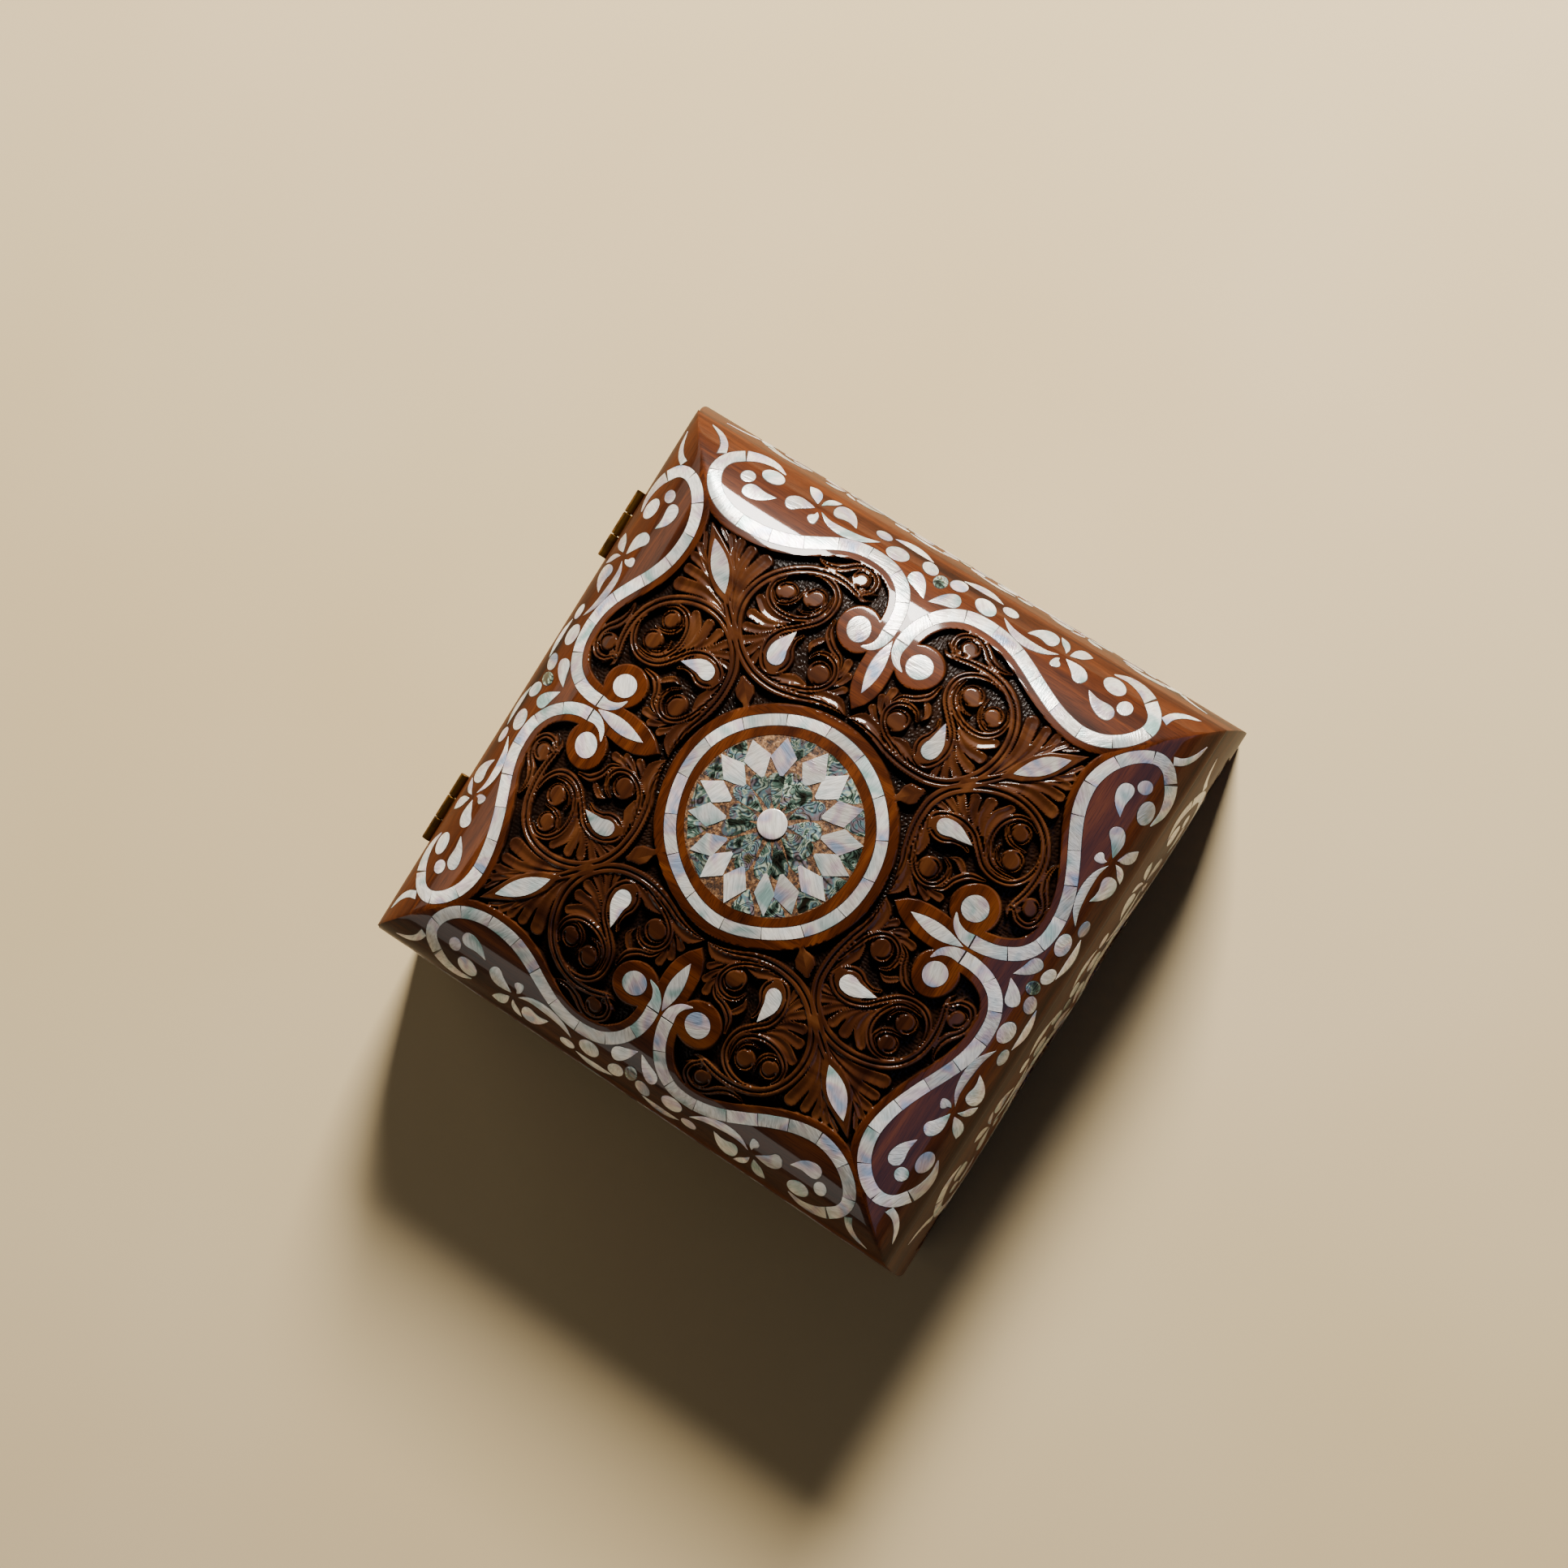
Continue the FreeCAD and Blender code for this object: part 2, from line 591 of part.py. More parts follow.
third = HINGE_L / 3
box_spans = [(-HINGE_L / 2, -third / 2 - 0.15), (third / 2 + 0.15, HINGE_L / 2)]
lid_spans = [(-third / 2 + 0.15, third / 2 - 0.15)]
screw_y = 94.5
screws_box, screws_lid = [], []
wall_back, rail_back = turned(wall, 180), turned(rail, 180)
for name, x in (("left", -HINGE_X), ("right", HINGE_X)):
    box_leaf = moved(hinge_leaf(SEAM_Z - LEAF_T, box_spans), x=x)
    lid_leaf = moved(hinge_leaf(SEAM_Z, lid_spans), x=x)
    room = HINGE_L / 2 + 0.3
    seat = Part.makeCylinder(KNUCKLE_R + 0.3, 2 * room, V(x - room, AXIS_Y, SEAM_Z),
                             V(1, 0, 0))
    wall_back = wall_back.cut(seat).cut(box(x - HINGE_L / 2, x + HINGE_L / 2, LEAF_IN,
                                            AXIS_Y, SEAM_Z - LEAF_T, SEAM_Z))
    rail_back = rail_back.cut(seat).cut(box(x - HINGE_L / 2, x + HINGE_L / 2, LEAF_IN,
                                            AXIS_Y, SEAM_Z, SEAM_Z + LEAF_T))
    for dx in (-7.5, 7.5):
        low = screw_hole(x + dx, screw_y, SEAM_Z, True)
        high = screw_hole(x + dx, screw_y, SEAM_Z, False)
        box_leaf, wall_back = box_leaf.cut(low), wall_back.cut(low)
        lid_leaf, rail_back = lid_leaf.cut(high), rail_back.cut(high)
        screws_box.append(screw(x + dx, screw_y, SEAM_Z - 0.05, True))
        screws_lid.append(screw(x + dx, screw_y, SEAM_Z + 0.05, False))
    pin = Part.makeCylinder(PIN_R, HINGE_L, V(x - HINGE_L / 2, AXIS_Y, SEAM_Z), V(1, 0, 0))
    save(f"hinge_leaf_box_{name}", [box_leaf])
    save(f"hinge_leaf_lid_{name}", [lid_leaf])
    save(f"hinge_pin_{name}", [pin])
save("hinge_screws_box", screws_box)
save("hinge_screws_lid", screws_lid)

sets = {"lid_strip": lid_strip, "lid_vine": lid_vine, "wall_strip": wall_strip,
        "wall_vine": wall_vine, "wall_lining": [side_lining]}
for side, angle in SIDES.items():
    save(f"lid_rail_{side}", [rail_back if side == "back" else turned(rail, angle)])
    save(f"wall_{side}", [wall_back if side == "back" else turned(wall, angle)])
    for name, shapes in sets.items():
        save(f"{name}_{side}", [turned(shape, angle) for shape in shapes])
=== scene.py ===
import math

import bmesh
import bpy
import numpy as np
from mathutils import Matrix, Vector


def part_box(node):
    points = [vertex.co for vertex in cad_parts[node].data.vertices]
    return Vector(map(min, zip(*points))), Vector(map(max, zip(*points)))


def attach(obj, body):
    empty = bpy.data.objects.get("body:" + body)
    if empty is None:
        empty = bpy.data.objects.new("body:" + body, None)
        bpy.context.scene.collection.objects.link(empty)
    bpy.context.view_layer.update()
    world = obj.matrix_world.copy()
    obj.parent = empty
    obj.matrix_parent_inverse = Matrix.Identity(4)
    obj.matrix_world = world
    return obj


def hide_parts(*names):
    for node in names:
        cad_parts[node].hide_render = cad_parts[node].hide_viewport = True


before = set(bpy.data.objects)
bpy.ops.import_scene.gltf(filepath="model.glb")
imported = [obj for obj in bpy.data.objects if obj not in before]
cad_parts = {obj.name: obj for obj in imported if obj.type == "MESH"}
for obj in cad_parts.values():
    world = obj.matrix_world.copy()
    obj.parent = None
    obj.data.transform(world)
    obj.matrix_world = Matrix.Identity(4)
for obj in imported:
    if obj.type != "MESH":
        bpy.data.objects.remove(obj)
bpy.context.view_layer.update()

# ---- The four walls of the body ----------------------------------------------------
# Each wall is one walnut board, swelling below the seam, mitred and glued at the
# corners. Its lower half is carved down to a stippled black ground, its upper half is
# left smooth for the shell vine, and all of it but the ground is lacquered.
MM = 0.001
SIDES = ("front", "right", "back", "left")
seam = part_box("wall_front")[1].z / MM
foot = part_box("wall_front")[0].z / MM
base_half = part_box("wall_front")[1].x / MM
inner_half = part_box("bottom_board")[1].x / MM
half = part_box("lid_rail_front")[1].x / MM
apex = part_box("pearl_button")[1].z / MM
rim = 2.0  # the lid's straight edge above the seam
dome_half = half + 1.0  # where the lid's arc would come down to nothing
flare_height = 40.0  # how far under the seam the wall begins to swell
flare_radius = (flare_height ** 2 + (base_half - half) ** 2) / (2 * (base_half - half))
rng = np.random.default_rng(7)


def ease(x, low, high):
    """Goes smoothly from 0 to 1 as x goes from low to high."""
    s = np.clip((x - low) / (high - low), 0.0, 1.0)
    return s * s * (3.0 - 2.0 * s)


def bow(r):
    """Height of a unit arc, r out from the centre."""
    return np.sqrt(np.maximum(0.0, 1.0 - (r / dome_half) ** 2))


def slope(r):
    """Height of the lid's slope above the seam, r out from the centre."""
    rise = (apex - seam - rim) / (1.0 - bow(half))
    return rim + rise * (bow(r) - bow(half))


def wall_out(z):
    """How far out the wall's face is at a height."""
    up = np.clip(z - (seam - flare_height), 0.0, None)
    return base_half - (flare_radius - np.sqrt(flare_radius ** 2 - up ** 2))


WALL_PATTERN = 0.92  # how far the border pattern is squeezed to fit a wall


def wall_z(r):
    """The lid's border pattern turned over the seam: the height that answers to r."""
    steps = np.linspace(half, 40.0, 121)
    rise = slope(steps)
    length = rim + np.concatenate([[0.0], np.cumsum(np.hypot(np.diff(steps), np.diff(rise)))])
    return seam - WALL_PATTERN * np.interp(-np.asarray(r, float), -steps, length)


def quarter(x, y, turn):
    """The point turned about the box's middle from the front side to another."""
    for _ in range(turn):
        x, y = -y, x
    return x, y


def on_wall(t, z, lift, turn):
    """A point of a wall's face, raised along the face's normal."""
    out = wall_out(z)
    lean = (wall_out(z + 0.1) - wall_out(z - 0.1)) / 0.2
    size = np.sqrt(1.0 + lean ** 2)
    x, y = quarter(t, -(out + lift / size), turn)
    return np.stack(np.broadcast_arrays(x, y, z - lift * lean / size), -1)


def curve(knots, step):
    """Evenly spaced points along a smooth line through the knots."""
    p = np.array(knots, float)
    p = np.vstack([2 * p[0] - p[1], p, 2 * p[-1] - p[-2]])
    u = np.linspace(0.0, 1.0, 17)[:-1, None]
    runs = []
    for a, b, c, d in zip(p, p[1:], p[2:], p[3:]):
        runs.append(0.5 * (2 * b + (c - a) * u + (2 * a - 5 * b + 4 * c - d) * u ** 2
                           + (3 * b - a - 3 * c + d) * u ** 3))
    line = np.vstack(runs + [p[-2:-1]])
    length = np.concatenate([[0.0], np.cumsum(np.hypot(*np.diff(line, axis=0).T))])
    even = np.linspace(0.0, length[-1], max(4, int(round(length[-1] / step)) + 1))
    return np.stack([np.interp(even, length, line[:, k]) for k in (0, 1)], -1)


def nearest(path, t, r):
    """Distance to a path, and how far along it, from 0 to 1."""
    best = np.full(t.shape, 1e9)
    place = np.zeros(t.shape)
    for i, (a, b) in enumerate(zip(path, path[1:])):
        d = b - a
        s = np.clip(((t - a[0]) * d[0] + (r - a[1]) * d[1]) / max(d @ d, 1e-9), 0.0, 1.0)
        gap = np.hypot(t - a[0] - s * d[0], r - a[1] - s * d[1])
        closer = gap < best
        best = np.where(closer, gap, best)
        place = np.where(closer, (i + s) / (len(path) - 1), place)
    return best, place


GROUND = -2.5  # depth of the sunk ground
STROKE = 1.32  # how much fuller a carved stroke stands than its drawn width


def carve(relief, t, r, knots, widths, top=-0.1, groove=0.0, scoop=0.0, wall=0.5):
    """Leaves a raised stroke standing: a vine with grooves, or a scooped petal."""
    path = curve(knots, 0.8)
    reach = max(widths) + wall
    near = ((t > path[:, 0].min() - reach) & (t < path[:, 0].max() + reach)
            & (r > path[:, 1].min() - reach) & (r < path[:, 1].max() + reach))
    if not near.any():
        return
    gap, place = nearest(path, t[near], r[near])
    width = np.interp(place, np.linspace(0.0, 1.0, len(widths)), widths)
    inside = width - gap
    form = top - groove * np.exp(-(gap / 0.27) ** 2) - 0.15 * (1.0 - ease(inside, 0.0, 0.6))
    form = form - scoop * np.clip(inside / np.maximum(width, 0.3), 0.0, 1.0) ** 0.8
    raised = GROUND + (form - GROUND) * ease(inside, -0.3 * wall, 0.5 * wall)
    relief[near] = np.maximum(relief[near], raised)


def boss(relief, t, r, centre, radius, top=-0.12, ring=0.0):
    """Leaves a flat round boss standing, with a groove near its edge if asked."""
    gap = np.hypot(t - centre[0], r - centre[1])
    turn = np.arctan2(r - centre[1], t - centre[0])
    form = top - 0.2 * (1.0 - ease(radius - gap, 0.0, 0.5))
    coil = ring * (0.8 + 0.35 * np.cos(turn - 0.6))
    cut = 1.2 * ease(ring, 0.0, 0.1) * ease(np.cos(turn - 2.4), -0.9, -0.5)
    form = form - cut * np.exp(-((gap - radius + coil) / 0.27) ** 2)
    raised = GROUND + (form - GROUND) * ease(radius - gap, -0.2, 0.25)
    np.maximum(relief, raised, out=relief)


def stipple(x, y):
    """Dimples of a round punch, about 1.1 mm apart, that darken the sunk ground."""
    pitch = 1.1
    depth = np.zeros(x.shape)
    cell_x, cell_y = np.floor(x / pitch), np.floor(y / pitch)
    for i in (-1, 0, 1):
        for j in (-1, 0, 1):
            a, b = cell_x + i, cell_y + j
            jog = np.modf(np.abs(np.sin(a * 12.99 + b * 78.23) * 437.5))[0]
            jig = np.modf(np.abs(np.sin(a * 39.35 + b * 11.13) * 975.1))[0]
            d = np.hypot(x - (a + 0.2 + 0.6 * jog) * pitch, y - (b + 0.2 + 0.6 * jig) * pitch)
            depth = np.maximum(depth, np.exp(-(d / 0.36) ** 2))
    return 0.45 * depth


# The border of one side, from its middle to one corner, in millimetres: how far along
# the side a point is, and how far out from the lid's centre.
STRIP = [(2.7, 69.5), (3.0, 73.5), (4.6, 78.6), (8.2, 83.6), (13.8, 86.9), (20.0, 87.9),
         (26.5, 87.4), (32.5, 85.6), (38.8, 82.4), (45.0, 79.0), (51.5, 76.3),
         (57.5, 74.9), (63.8, 74.6), (70.0, 76.1), (75.0, 79.2), (78.3, 83.2),
         (79.6, 87.4), (78.6, 91.2), (75.6, 94.2)]
STRIP_HOOK = [(7.6, 61.2), (4.7, 63.0), (2.95, 66.0)]
STRIP_END = [(71.3, 96.3), (66.3, 96.9), (61.5, 95.8)]
STRIP_W = 2.05  # half the shell strip's width
MARGIN = 4.75  # half the smooth wood the strip is set in
SPADE = [(0.0, 70.0), (0.0, 43.0)]
SPADE_WIDTHS = [5.4, 5.3, 5.3, 5.4, 5.5, 5.3, 4.6, 3.0, 0.1]
DISC = (11.3, 65.1)
COLLAR = 7.7  # radius of the smooth wood round a scroll's disc

# The wall's carved field, in millimetres along the wall and above the ground.
WALL_BASE = 8.5
WALL_SIDE = 95.0
WALL_TOP = 47.5
WALL_VINES = [
    ([(0.5, 10.6), (8, 11.3), (15, 12.6), (22, 12.2), (29, 11.6), (37, 12.2), (42.8, 15.8),
      (45.6, 21.8), (44.9, 28.6), (40.6, 34.0), (33.6, 36.2), (27, 34.8), (22.6, 30.6),
      (21.3, 25), (22.6, 20), (26.4, 17.2)], [0.4, 1.2, 1.2, 1.2, 1.2, 1.2, 1.1, 0.9, 0.5]),
    ([(30.2, 33.4), (25.8, 31.6), (23.9, 27.6), (25.0, 23.4), (28.4, 22.4)],
     [0.4, 0.8, 0.8, 0.4]),
    ([(28.4, 33.4), (30.0, 28.4), (29.6, 23.4), (30.4, 18.4), (33.2, 17.0), (35.4, 19.6),
      (35.6, 25.0), (34.0, 30.0), (31.4, 33.6)], [0.5, 0.8, 0.9, 0.8, 0.5]),
    ([(43.6, 14.6), (50, 11.8), (56.6, 12.4), (61.4, 16.6), (62.6, 22.6), (59.6, 27.4),
      (54.6, 27.4), (52.0, 23.6)], [0.5, 1.1, 1.1, 1.0, 0.5]),
    ([(62.0, 14.0), (64.6, 11.4), (68.4, 11.0), (72.0, 12.6)], [0.4, 0.9, 0.5]),
    ([(21.4, 27.0), (17.4, 29.6), (16.2, 33.6), (18.2, 36.8)], [0.3, 1.0, 0.9, 0.2]),
    ([(19.6, 22.0), (15.0, 22.6), (11.6, 20.0), (11.6, 16.6), (14.6, 15.4)],
     [0.3, 0.9, 0.9, 0.4])]
WALL_PETALS = [
    ([(35.4, 28.6), (39.0, 30.6), (42.6, 29.4)], [0.3, 0.9, 1.1]),
    ([(36.2, 26.0), (39.6, 26.0), (43.0, 24.6)], [0.3, 0.9, 1.2]),
    ([(36.4, 23.0), (39.4, 21.6), (42.2, 19.0)], [0.3, 0.9, 1.2]),
    ([(36.0, 20.4), (37.6, 17.8), (39.2, 15.2)], [0.3, 0.8, 1.1]),
    ([(46.8, 15.8), (48.2, 21.6), (47.8, 29.0)], [0.3, 1.0, 1.4]),
    ([(48.2, 14.8), (50.8, 19.6), (51.0, 29.6)], [0.2, 0.7, 1.0]),
    ([(61.6, 27.2), (58.6, 30.2), (53.8, 31.0)], [0.2, 0.9, 0.6]),
    ([(66.4, 12.6), (65.8, 18.8), (66.8, 27.0)], [0.3, 1.0, 1.4]),
    ([(67.6, 13.8), (68.8, 20.6), (71.6, 29.4)], [0.2, 0.8, 1.2]),
    ([(69.6, 22.6), (73.0, 29.0), (77.6, 35.2)], [0.2, 0.8, 1.2]),
    ([(75.4, 29.4), (79.4, 35.0), (83.6, 43.6)], [0.2, 1.0, 1.5]),
    ([(79.0, 31.0), (84.6, 36.6), (88.8, 45.2)], [0.3, 1.1, 1.5]),
    ([(72.6, 13.6), (81.6, 22.0), (88.4, 32.0), (92.2, 42.6)], [0.3, 1.1, 1.6, 1.5]),
    ([(73.6, 12.2), (82.4, 17.0), (89.0, 24.0), (92.8, 32.0)], [0.2, 1.0, 1.5, 1.3]),
    ([(75.0, 11.0), (83.4, 12.8), (89.6, 16.6), (93.0, 22.0)], [0.2, 0.9, 1.4, 1.2]),
    ([(77.0, 9.9), (85.0, 9.9), (92.6, 11.6)], [0.2, 0.8, 1.2]),
    ([(1.4, 12.4), (5.6, 14.6), (10.0, 14.0)], [0.2, 0.9, 0.3]),
    ([(4.8, 23.4), (8.6, 18.0), (8.2, 14.6)], [0.2, 0.9, 0.3]),
    ([(24.6, 14.0), (29.6, 14.6), (34.6, 13.8)], [0.2, 0.6, 0.2])]
WALL_BOSSES = [((27.9, 27.4), 2.5), ((56.8, 21.8), 2.7), ((15.2, 19.2), 2.0),
               ((20.4, 33.6), 2.3)]
WALL_ALMOND = [(69.0, 13.0), (81.5, 30.0)]


def wall_relief(t, z):
    """Depth of the wall's carving below its smooth face."""
    t = np.abs(t)
    relief = np.full(t.shape, GROUND)
    line = curve(STRIP, 1.0)
    line[:, 1] = wall_z(line[:, 1])
    rising = line[:, 0] < 79.0
    edge = np.interp(t, line[rising, 0], line[rising, 1], right=WALL_TOP)
    for knots, widths in WALL_VINES:
        carve(relief, t, z, knots, [STROKE * w for w in widths], groove=1.1)
    for knots, widths in WALL_PETALS:
        carve(relief, t, z, knots, [STROKE * w for w in widths], top=-0.2, scoop=0.7)
    for centre, radius in WALL_BOSSES:
        boss(relief, t, z, centre, radius, ring=0.8)
    carve(relief, t, z, WALL_ALMOND, [1.6, 3.4, 4.2, 3.4, 1.6])
    spade = [(a, float(wall_z(b))) for a, b in SPADE]
    carve(relief, t, z, spade, SPADE_WIDTHS, top=0.0)
    carve(relief, t, z, line, [MARGIN - 0.4, MARGIN - 0.4], top=0.0)
    boss(relief, t, z, (DISC[0], float(wall_z(DISC[1]))), COLLAR, top=0.0)
    outside = np.maximum.reduce([z - edge, WALL_BASE - z, t - WALL_SIDE])
    return np.maximum(relief, GROUND - GROUND * ease(outside, -0.2, 0.3))


def piece(name, verts, faces, material, body, nodes, slot, crease=35.0, marks=None):
    """A finished mesh object: closed, facing outwards, riding on its body."""
    mesh = bpy.data.meshes.new(name)
    mesh.from_pydata((np.asarray(verts, float).reshape(-1, 3) * MM).tolist(), [], faces)
    for mark, values in (marks or {}).items():
        mesh.attributes.new(mark, "FLOAT", "POINT").data.foreach_set("value", values)
    bm = bmesh.new()
    bm.from_mesh(mesh)
    bmesh.ops.remove_doubles(bm, verts=bm.verts, dist=2e-6)
    bmesh.ops.dissolve_degenerate(bm, edges=bm.edges, dist=1e-6)
    bmesh.ops.recalc_face_normals(bm, faces=bm.faces)
    bm.to_mesh(mesh)
    bm.free()
    mesh.polygons.foreach_set("use_smooth", [True] * len(mesh.polygons))
    mesh.set_sharp_from_angle(angle=math.radians(crease))
    mesh.materials.append(material)
    thing = bpy.data.objects.new(name, mesh)
    bpy.context.scene.collection.objects.link(thing)
    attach(thing, body)
    if nodes:
        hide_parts(*nodes)
    return thing


def linear(code):
    """An sRGB hex colour as linear red, green, blue and alpha."""
    parts = [int(code[i:i + 2], 16) / 255 for i in (1, 3, 5)]
    return [c / 12.92 if c < 0.04045 else ((c + 0.055) / 1.055) ** 2.4 for c in parts] + [1.0]


def add(tree, kind, settings=None, links=None):
    """Adds a node, sets its properties and sockets, and links its inputs."""
    node = tree.nodes.new(kind)
    for key, value in (settings or {}).items():
        if isinstance(key, str) and hasattr(node, key):
            setattr(node, key, value)
        else:
            node.inputs[key].default_value = value
    for key, source in (links or {}).items():
        tree.links.new(source, node.inputs[key])
    return node


def new_material(name):
    """An empty node material and its tree."""
    material = bpy.data.materials.new(name)
    material.use_nodes = True
    material.node_tree.nodes.clear()
    return material, material.node_tree


def ramp(tree, source, stops):
    """A colour ramp over a value, its stops given as places and hex colours."""
    node = add(tree, "ShaderNodeValToRGB", links={0: source})
    while len(node.color_ramp.elements) < len(stops):
        node.color_ramp.elements.new(0.5)
    for element, (place, code) in zip(node.color_ramp.elements, stops):
        element.position = place
        element.color = linear(code)
    return node.outputs[0]


def walnut(name, grain_turn, carved):
    """Lacquered walnut: warm red-brown figure under a clear gloss. The carved sort is
    stained nearly black in its sunk ground, darkened in its hollows by painted shade, and
    stays red-brown on its tops."""
    material, tree = new_material(name)
    where = add(tree, "ShaderNodeTexCoord").outputs["Object"]
    turned = add(tree, "ShaderNodeMapping", {"Rotation": (0, 0, grain_turn)},
                 {"Vector": where}).outputs[0]
    # growth figure about 8 mm wide and 90 mm long, pores 0.3 mm wide and 6 mm long
    broad = add(tree, "ShaderNodeMapping", {"Scale": (11, 120, 120)}, {"Vector": turned})
    fine = add(tree, "ShaderNodeMapping", {"Scale": (160, 3200, 3200)}, {"Vector": turned})
    figure = add(tree, "ShaderNodeTexNoise", {"Scale": 1.0, "Detail": 5.0,
                                              "Roughness": 0.55, "Distortion": 0.9},
                 {"Vector": broad.outputs[0]}).outputs[0]
    pores = add(tree, "ShaderNodeTexNoise", {"Scale": 1.0, "Detail": 2.0},
                {"Vector": fine.outputs[0]}).outputs[0]
    wood = ramp(tree, figure, [(0.28, "#2a0f04"), (0.44, "#421d09"), (0.58, "#582a0e"),
                               (0.76, "#6e3b15")])
    pore = add(tree, "ShaderNodeMapRange", {"From Min": 0.34, "From Max": 0.5,
                                            "To Min": 0.55, "To Max": 1.0},
               {"Value": pores}).outputs[0]
    colour = add(tree, "ShaderNodeMix", {"data_type": "RGBA", "blend_type": "MULTIPLY",
                                         0: 1.0}, {6: wood, 7: pore}).outputs[2]
    shader = add(tree, "ShaderNodeBsdfPrincipled",
                 {"Specular IOR Level": 0.06, "Coat Roughness": 0.045, "Coat IOR": 1.45})
    # the shine is faded at a glancing look, to keep the pale floor's reflection off the
    # rim; this is a choice for the look, since real lacquer shines most there
    facing = add(tree, "ShaderNodeLayerWeight", {"Blend": 0.5}).outputs["Facing"]
    gloss = add(tree, "ShaderNodeMapRange", {"interpolation_type": "SMOOTHSTEP",
                                             "From Min": 0.12, "From Max": 0.55,
                                             "To Min": 0.75, "To Max": 0.03},
                {"Value": facing}).outputs[0]
    if carved:
        depth = add(tree, "ShaderNodeAttribute", {"attribute_name": "depth"}).outputs["Fac"]
        hollow = add(tree, "ShaderNodeAttribute", {"attribute_name": "hollow"}).outputs["Fac"]
        high = add(tree, "ShaderNodeMapRange", {"interpolation_type": "SMOOTHSTEP",
                                                "From Min": -1.9, "From Max": -0.55},
                   {"Value": depth}).outputs[0]
        # painted shade: where the hollow mark is high, between strands and under their edges,
        # the colour is pulled towards the near-black below
        out_of_shaded_hollow = add(tree, "ShaderNodeMapRange", {"interpolation_type": "SMOOTHSTEP",
                                                       "From Min": 0.75,
                                                       "From Max": 0.08},
                          {"Value": hollow}).outputs[0]
        tops_out_of_stain_and_shade = add(tree, "ShaderNodeMath", {"operation": "MULTIPLY"},
                       {0: high, 1: out_of_shaded_hollow}).outputs[0]
        dull = ramp(tree, figure, [(0.28, "#210e06"), (0.44, "#391c0c"), (0.58, "#4c2912"),
                                   (0.76, "#5f381b")])
        level = add(tree, "ShaderNodeMapRange", {"From Min": -0.09, "From Max": -0.03},
                    {"Value": depth}).outputs[0]
        colour = add(tree, "ShaderNodeMix", {"data_type": "RGBA"},
                     {0: level, 6: dull, 7: colour}).outputs[2]
        # near-black: the real stain of the sunk ground, together with painted shade in the
        # hollows
        stain_and_shade = ramp(tree, figure, [(0.35, "#0f0704"), (0.65, "#241309")])
        colour = add(tree, "ShaderNodeMix", {"data_type": "RGBA"},
                     {0: tops_out_of_stain_and_shade, 6: stain_and_shade, 7: colour}).outputs[2]
        rough = add(tree, "ShaderNodeMapRange", {"To Min": 0.5, "To Max": 0.4},
                    {"Value": tops_out_of_stain_and_shade}).outputs[0]
        tree.links.new(rough, shader.inputs["Roughness"])
        worn = add(tree, "ShaderNodeMapRange", {"To Min": 0.12, "To Max": 0.6},
                   {"Value": tops_out_of_stain_and_shade}).outputs[0]
        gloss = add(tree, "ShaderNodeMath", {"operation": "MULTIPLY"},
                    {0: gloss, 1: worn}).outputs[0]
    else:
        shader.inputs["Roughness"].default_value = 0.45
    tree.links.new(gloss, shader.inputs["Coat Weight"])
    bump = add(tree, "ShaderNodeBump", {"Strength": 0.08, "Distance": 0.0002},
               {"Height": pores})
    tree.links.new(colour, shader.inputs["Base Color"])
    tree.links.new(bump.outputs[0], shader.inputs["Normal"])
    add(tree, "ShaderNodeOutputMaterial", links={0: shader.outputs[0]})
    return material


walnut_grain = [walnut("lacquered walnut along x", 0.0, False),
                walnut("lacquered walnut along y", math.pi / 2, False)]
walnut_carved = [walnut("carved walnut along x", 0.0, True),
                 walnut("carved walnut along y", math.pi / 2, True)]


def softened(values, steps):
    """The grid of values blurred, to find what lies in a hollow."""
    for _ in range(steps):
        for axis in (0, 1):
            values = (np.roll(values, 1, axis) + values + np.roll(values, -1, axis)) / 3.0
    return values


def bar(loop):
    """Points and faces of a bar whose rows close round it, its two mitred ends flat."""
    rows, columns = loop.shape[:2]
    index = np.arange(rows * columns).reshape(rows, columns)
    turned = np.vstack([index[1:], index[:1]])
    faces = np.stack([index[:, :-1], turned[:, :-1], turned[:, 1:], index[:, 1:]],
                     -1).reshape(-1, 4).tolist()
    faces.append(index[:, 0].tolist())
    faces.append(index[::-1, -1].tolist())
    return loop.reshape(-1, 3), faces


def padded_rows(values, extra):
    """The relief's values with zeros for the rows that close the bar."""
    return np.vstack([values, np.zeros((extra, values.shape[1]))]).ravel()


columns, rows = 425, 141
across = np.linspace(-1.0, 1.0, columns)
SEAM_GAP = 0.05
up = np.linspace(foot, seam - SEAM_GAP, rows)
for turn, side in enumerate(SIDES):
    z = np.repeat(up[:, None], columns, 1)
    t = across * wall_out(z)
    relief = wall_relief(t, z)
    # how deep each point lies in a hollow; the carved walnut paints shade there
    hollow = np.clip((softened(relief, 5) - relief) * 1.2, 0.0, 1.0)
    lift = relief - stipple(t + 7 * turn, z) * ease(-relief, 2.2, 2.45)
    lift[:, [0, -1]] = 0.0
    lift[[0, -1]] = 0.0
    face = on_wall(t, z, lift, turn)
    face[..., 2] = np.clip(face[..., 2], foot, seam - SEAM_GAP)
    closing = []
    for height in (seam - SEAM_GAP, foot):
        x, y = quarter(across * inner_half, np.full(columns, -inner_half), turn)
        closing.append(np.stack([x, y, np.full(columns, height)], -1))
    verts, faces = bar(np.concatenate([face, np.stack(closing)]))
    marks = {"depth": padded_rows(relief, 2), "hollow": padded_rows(hollow, 2)}
    piece(f"wall_{side}_carved", verts, faces, walnut_carved[turn % 2], "box",
          [f"wall_{side}"], "walnut", 60.0, marks)


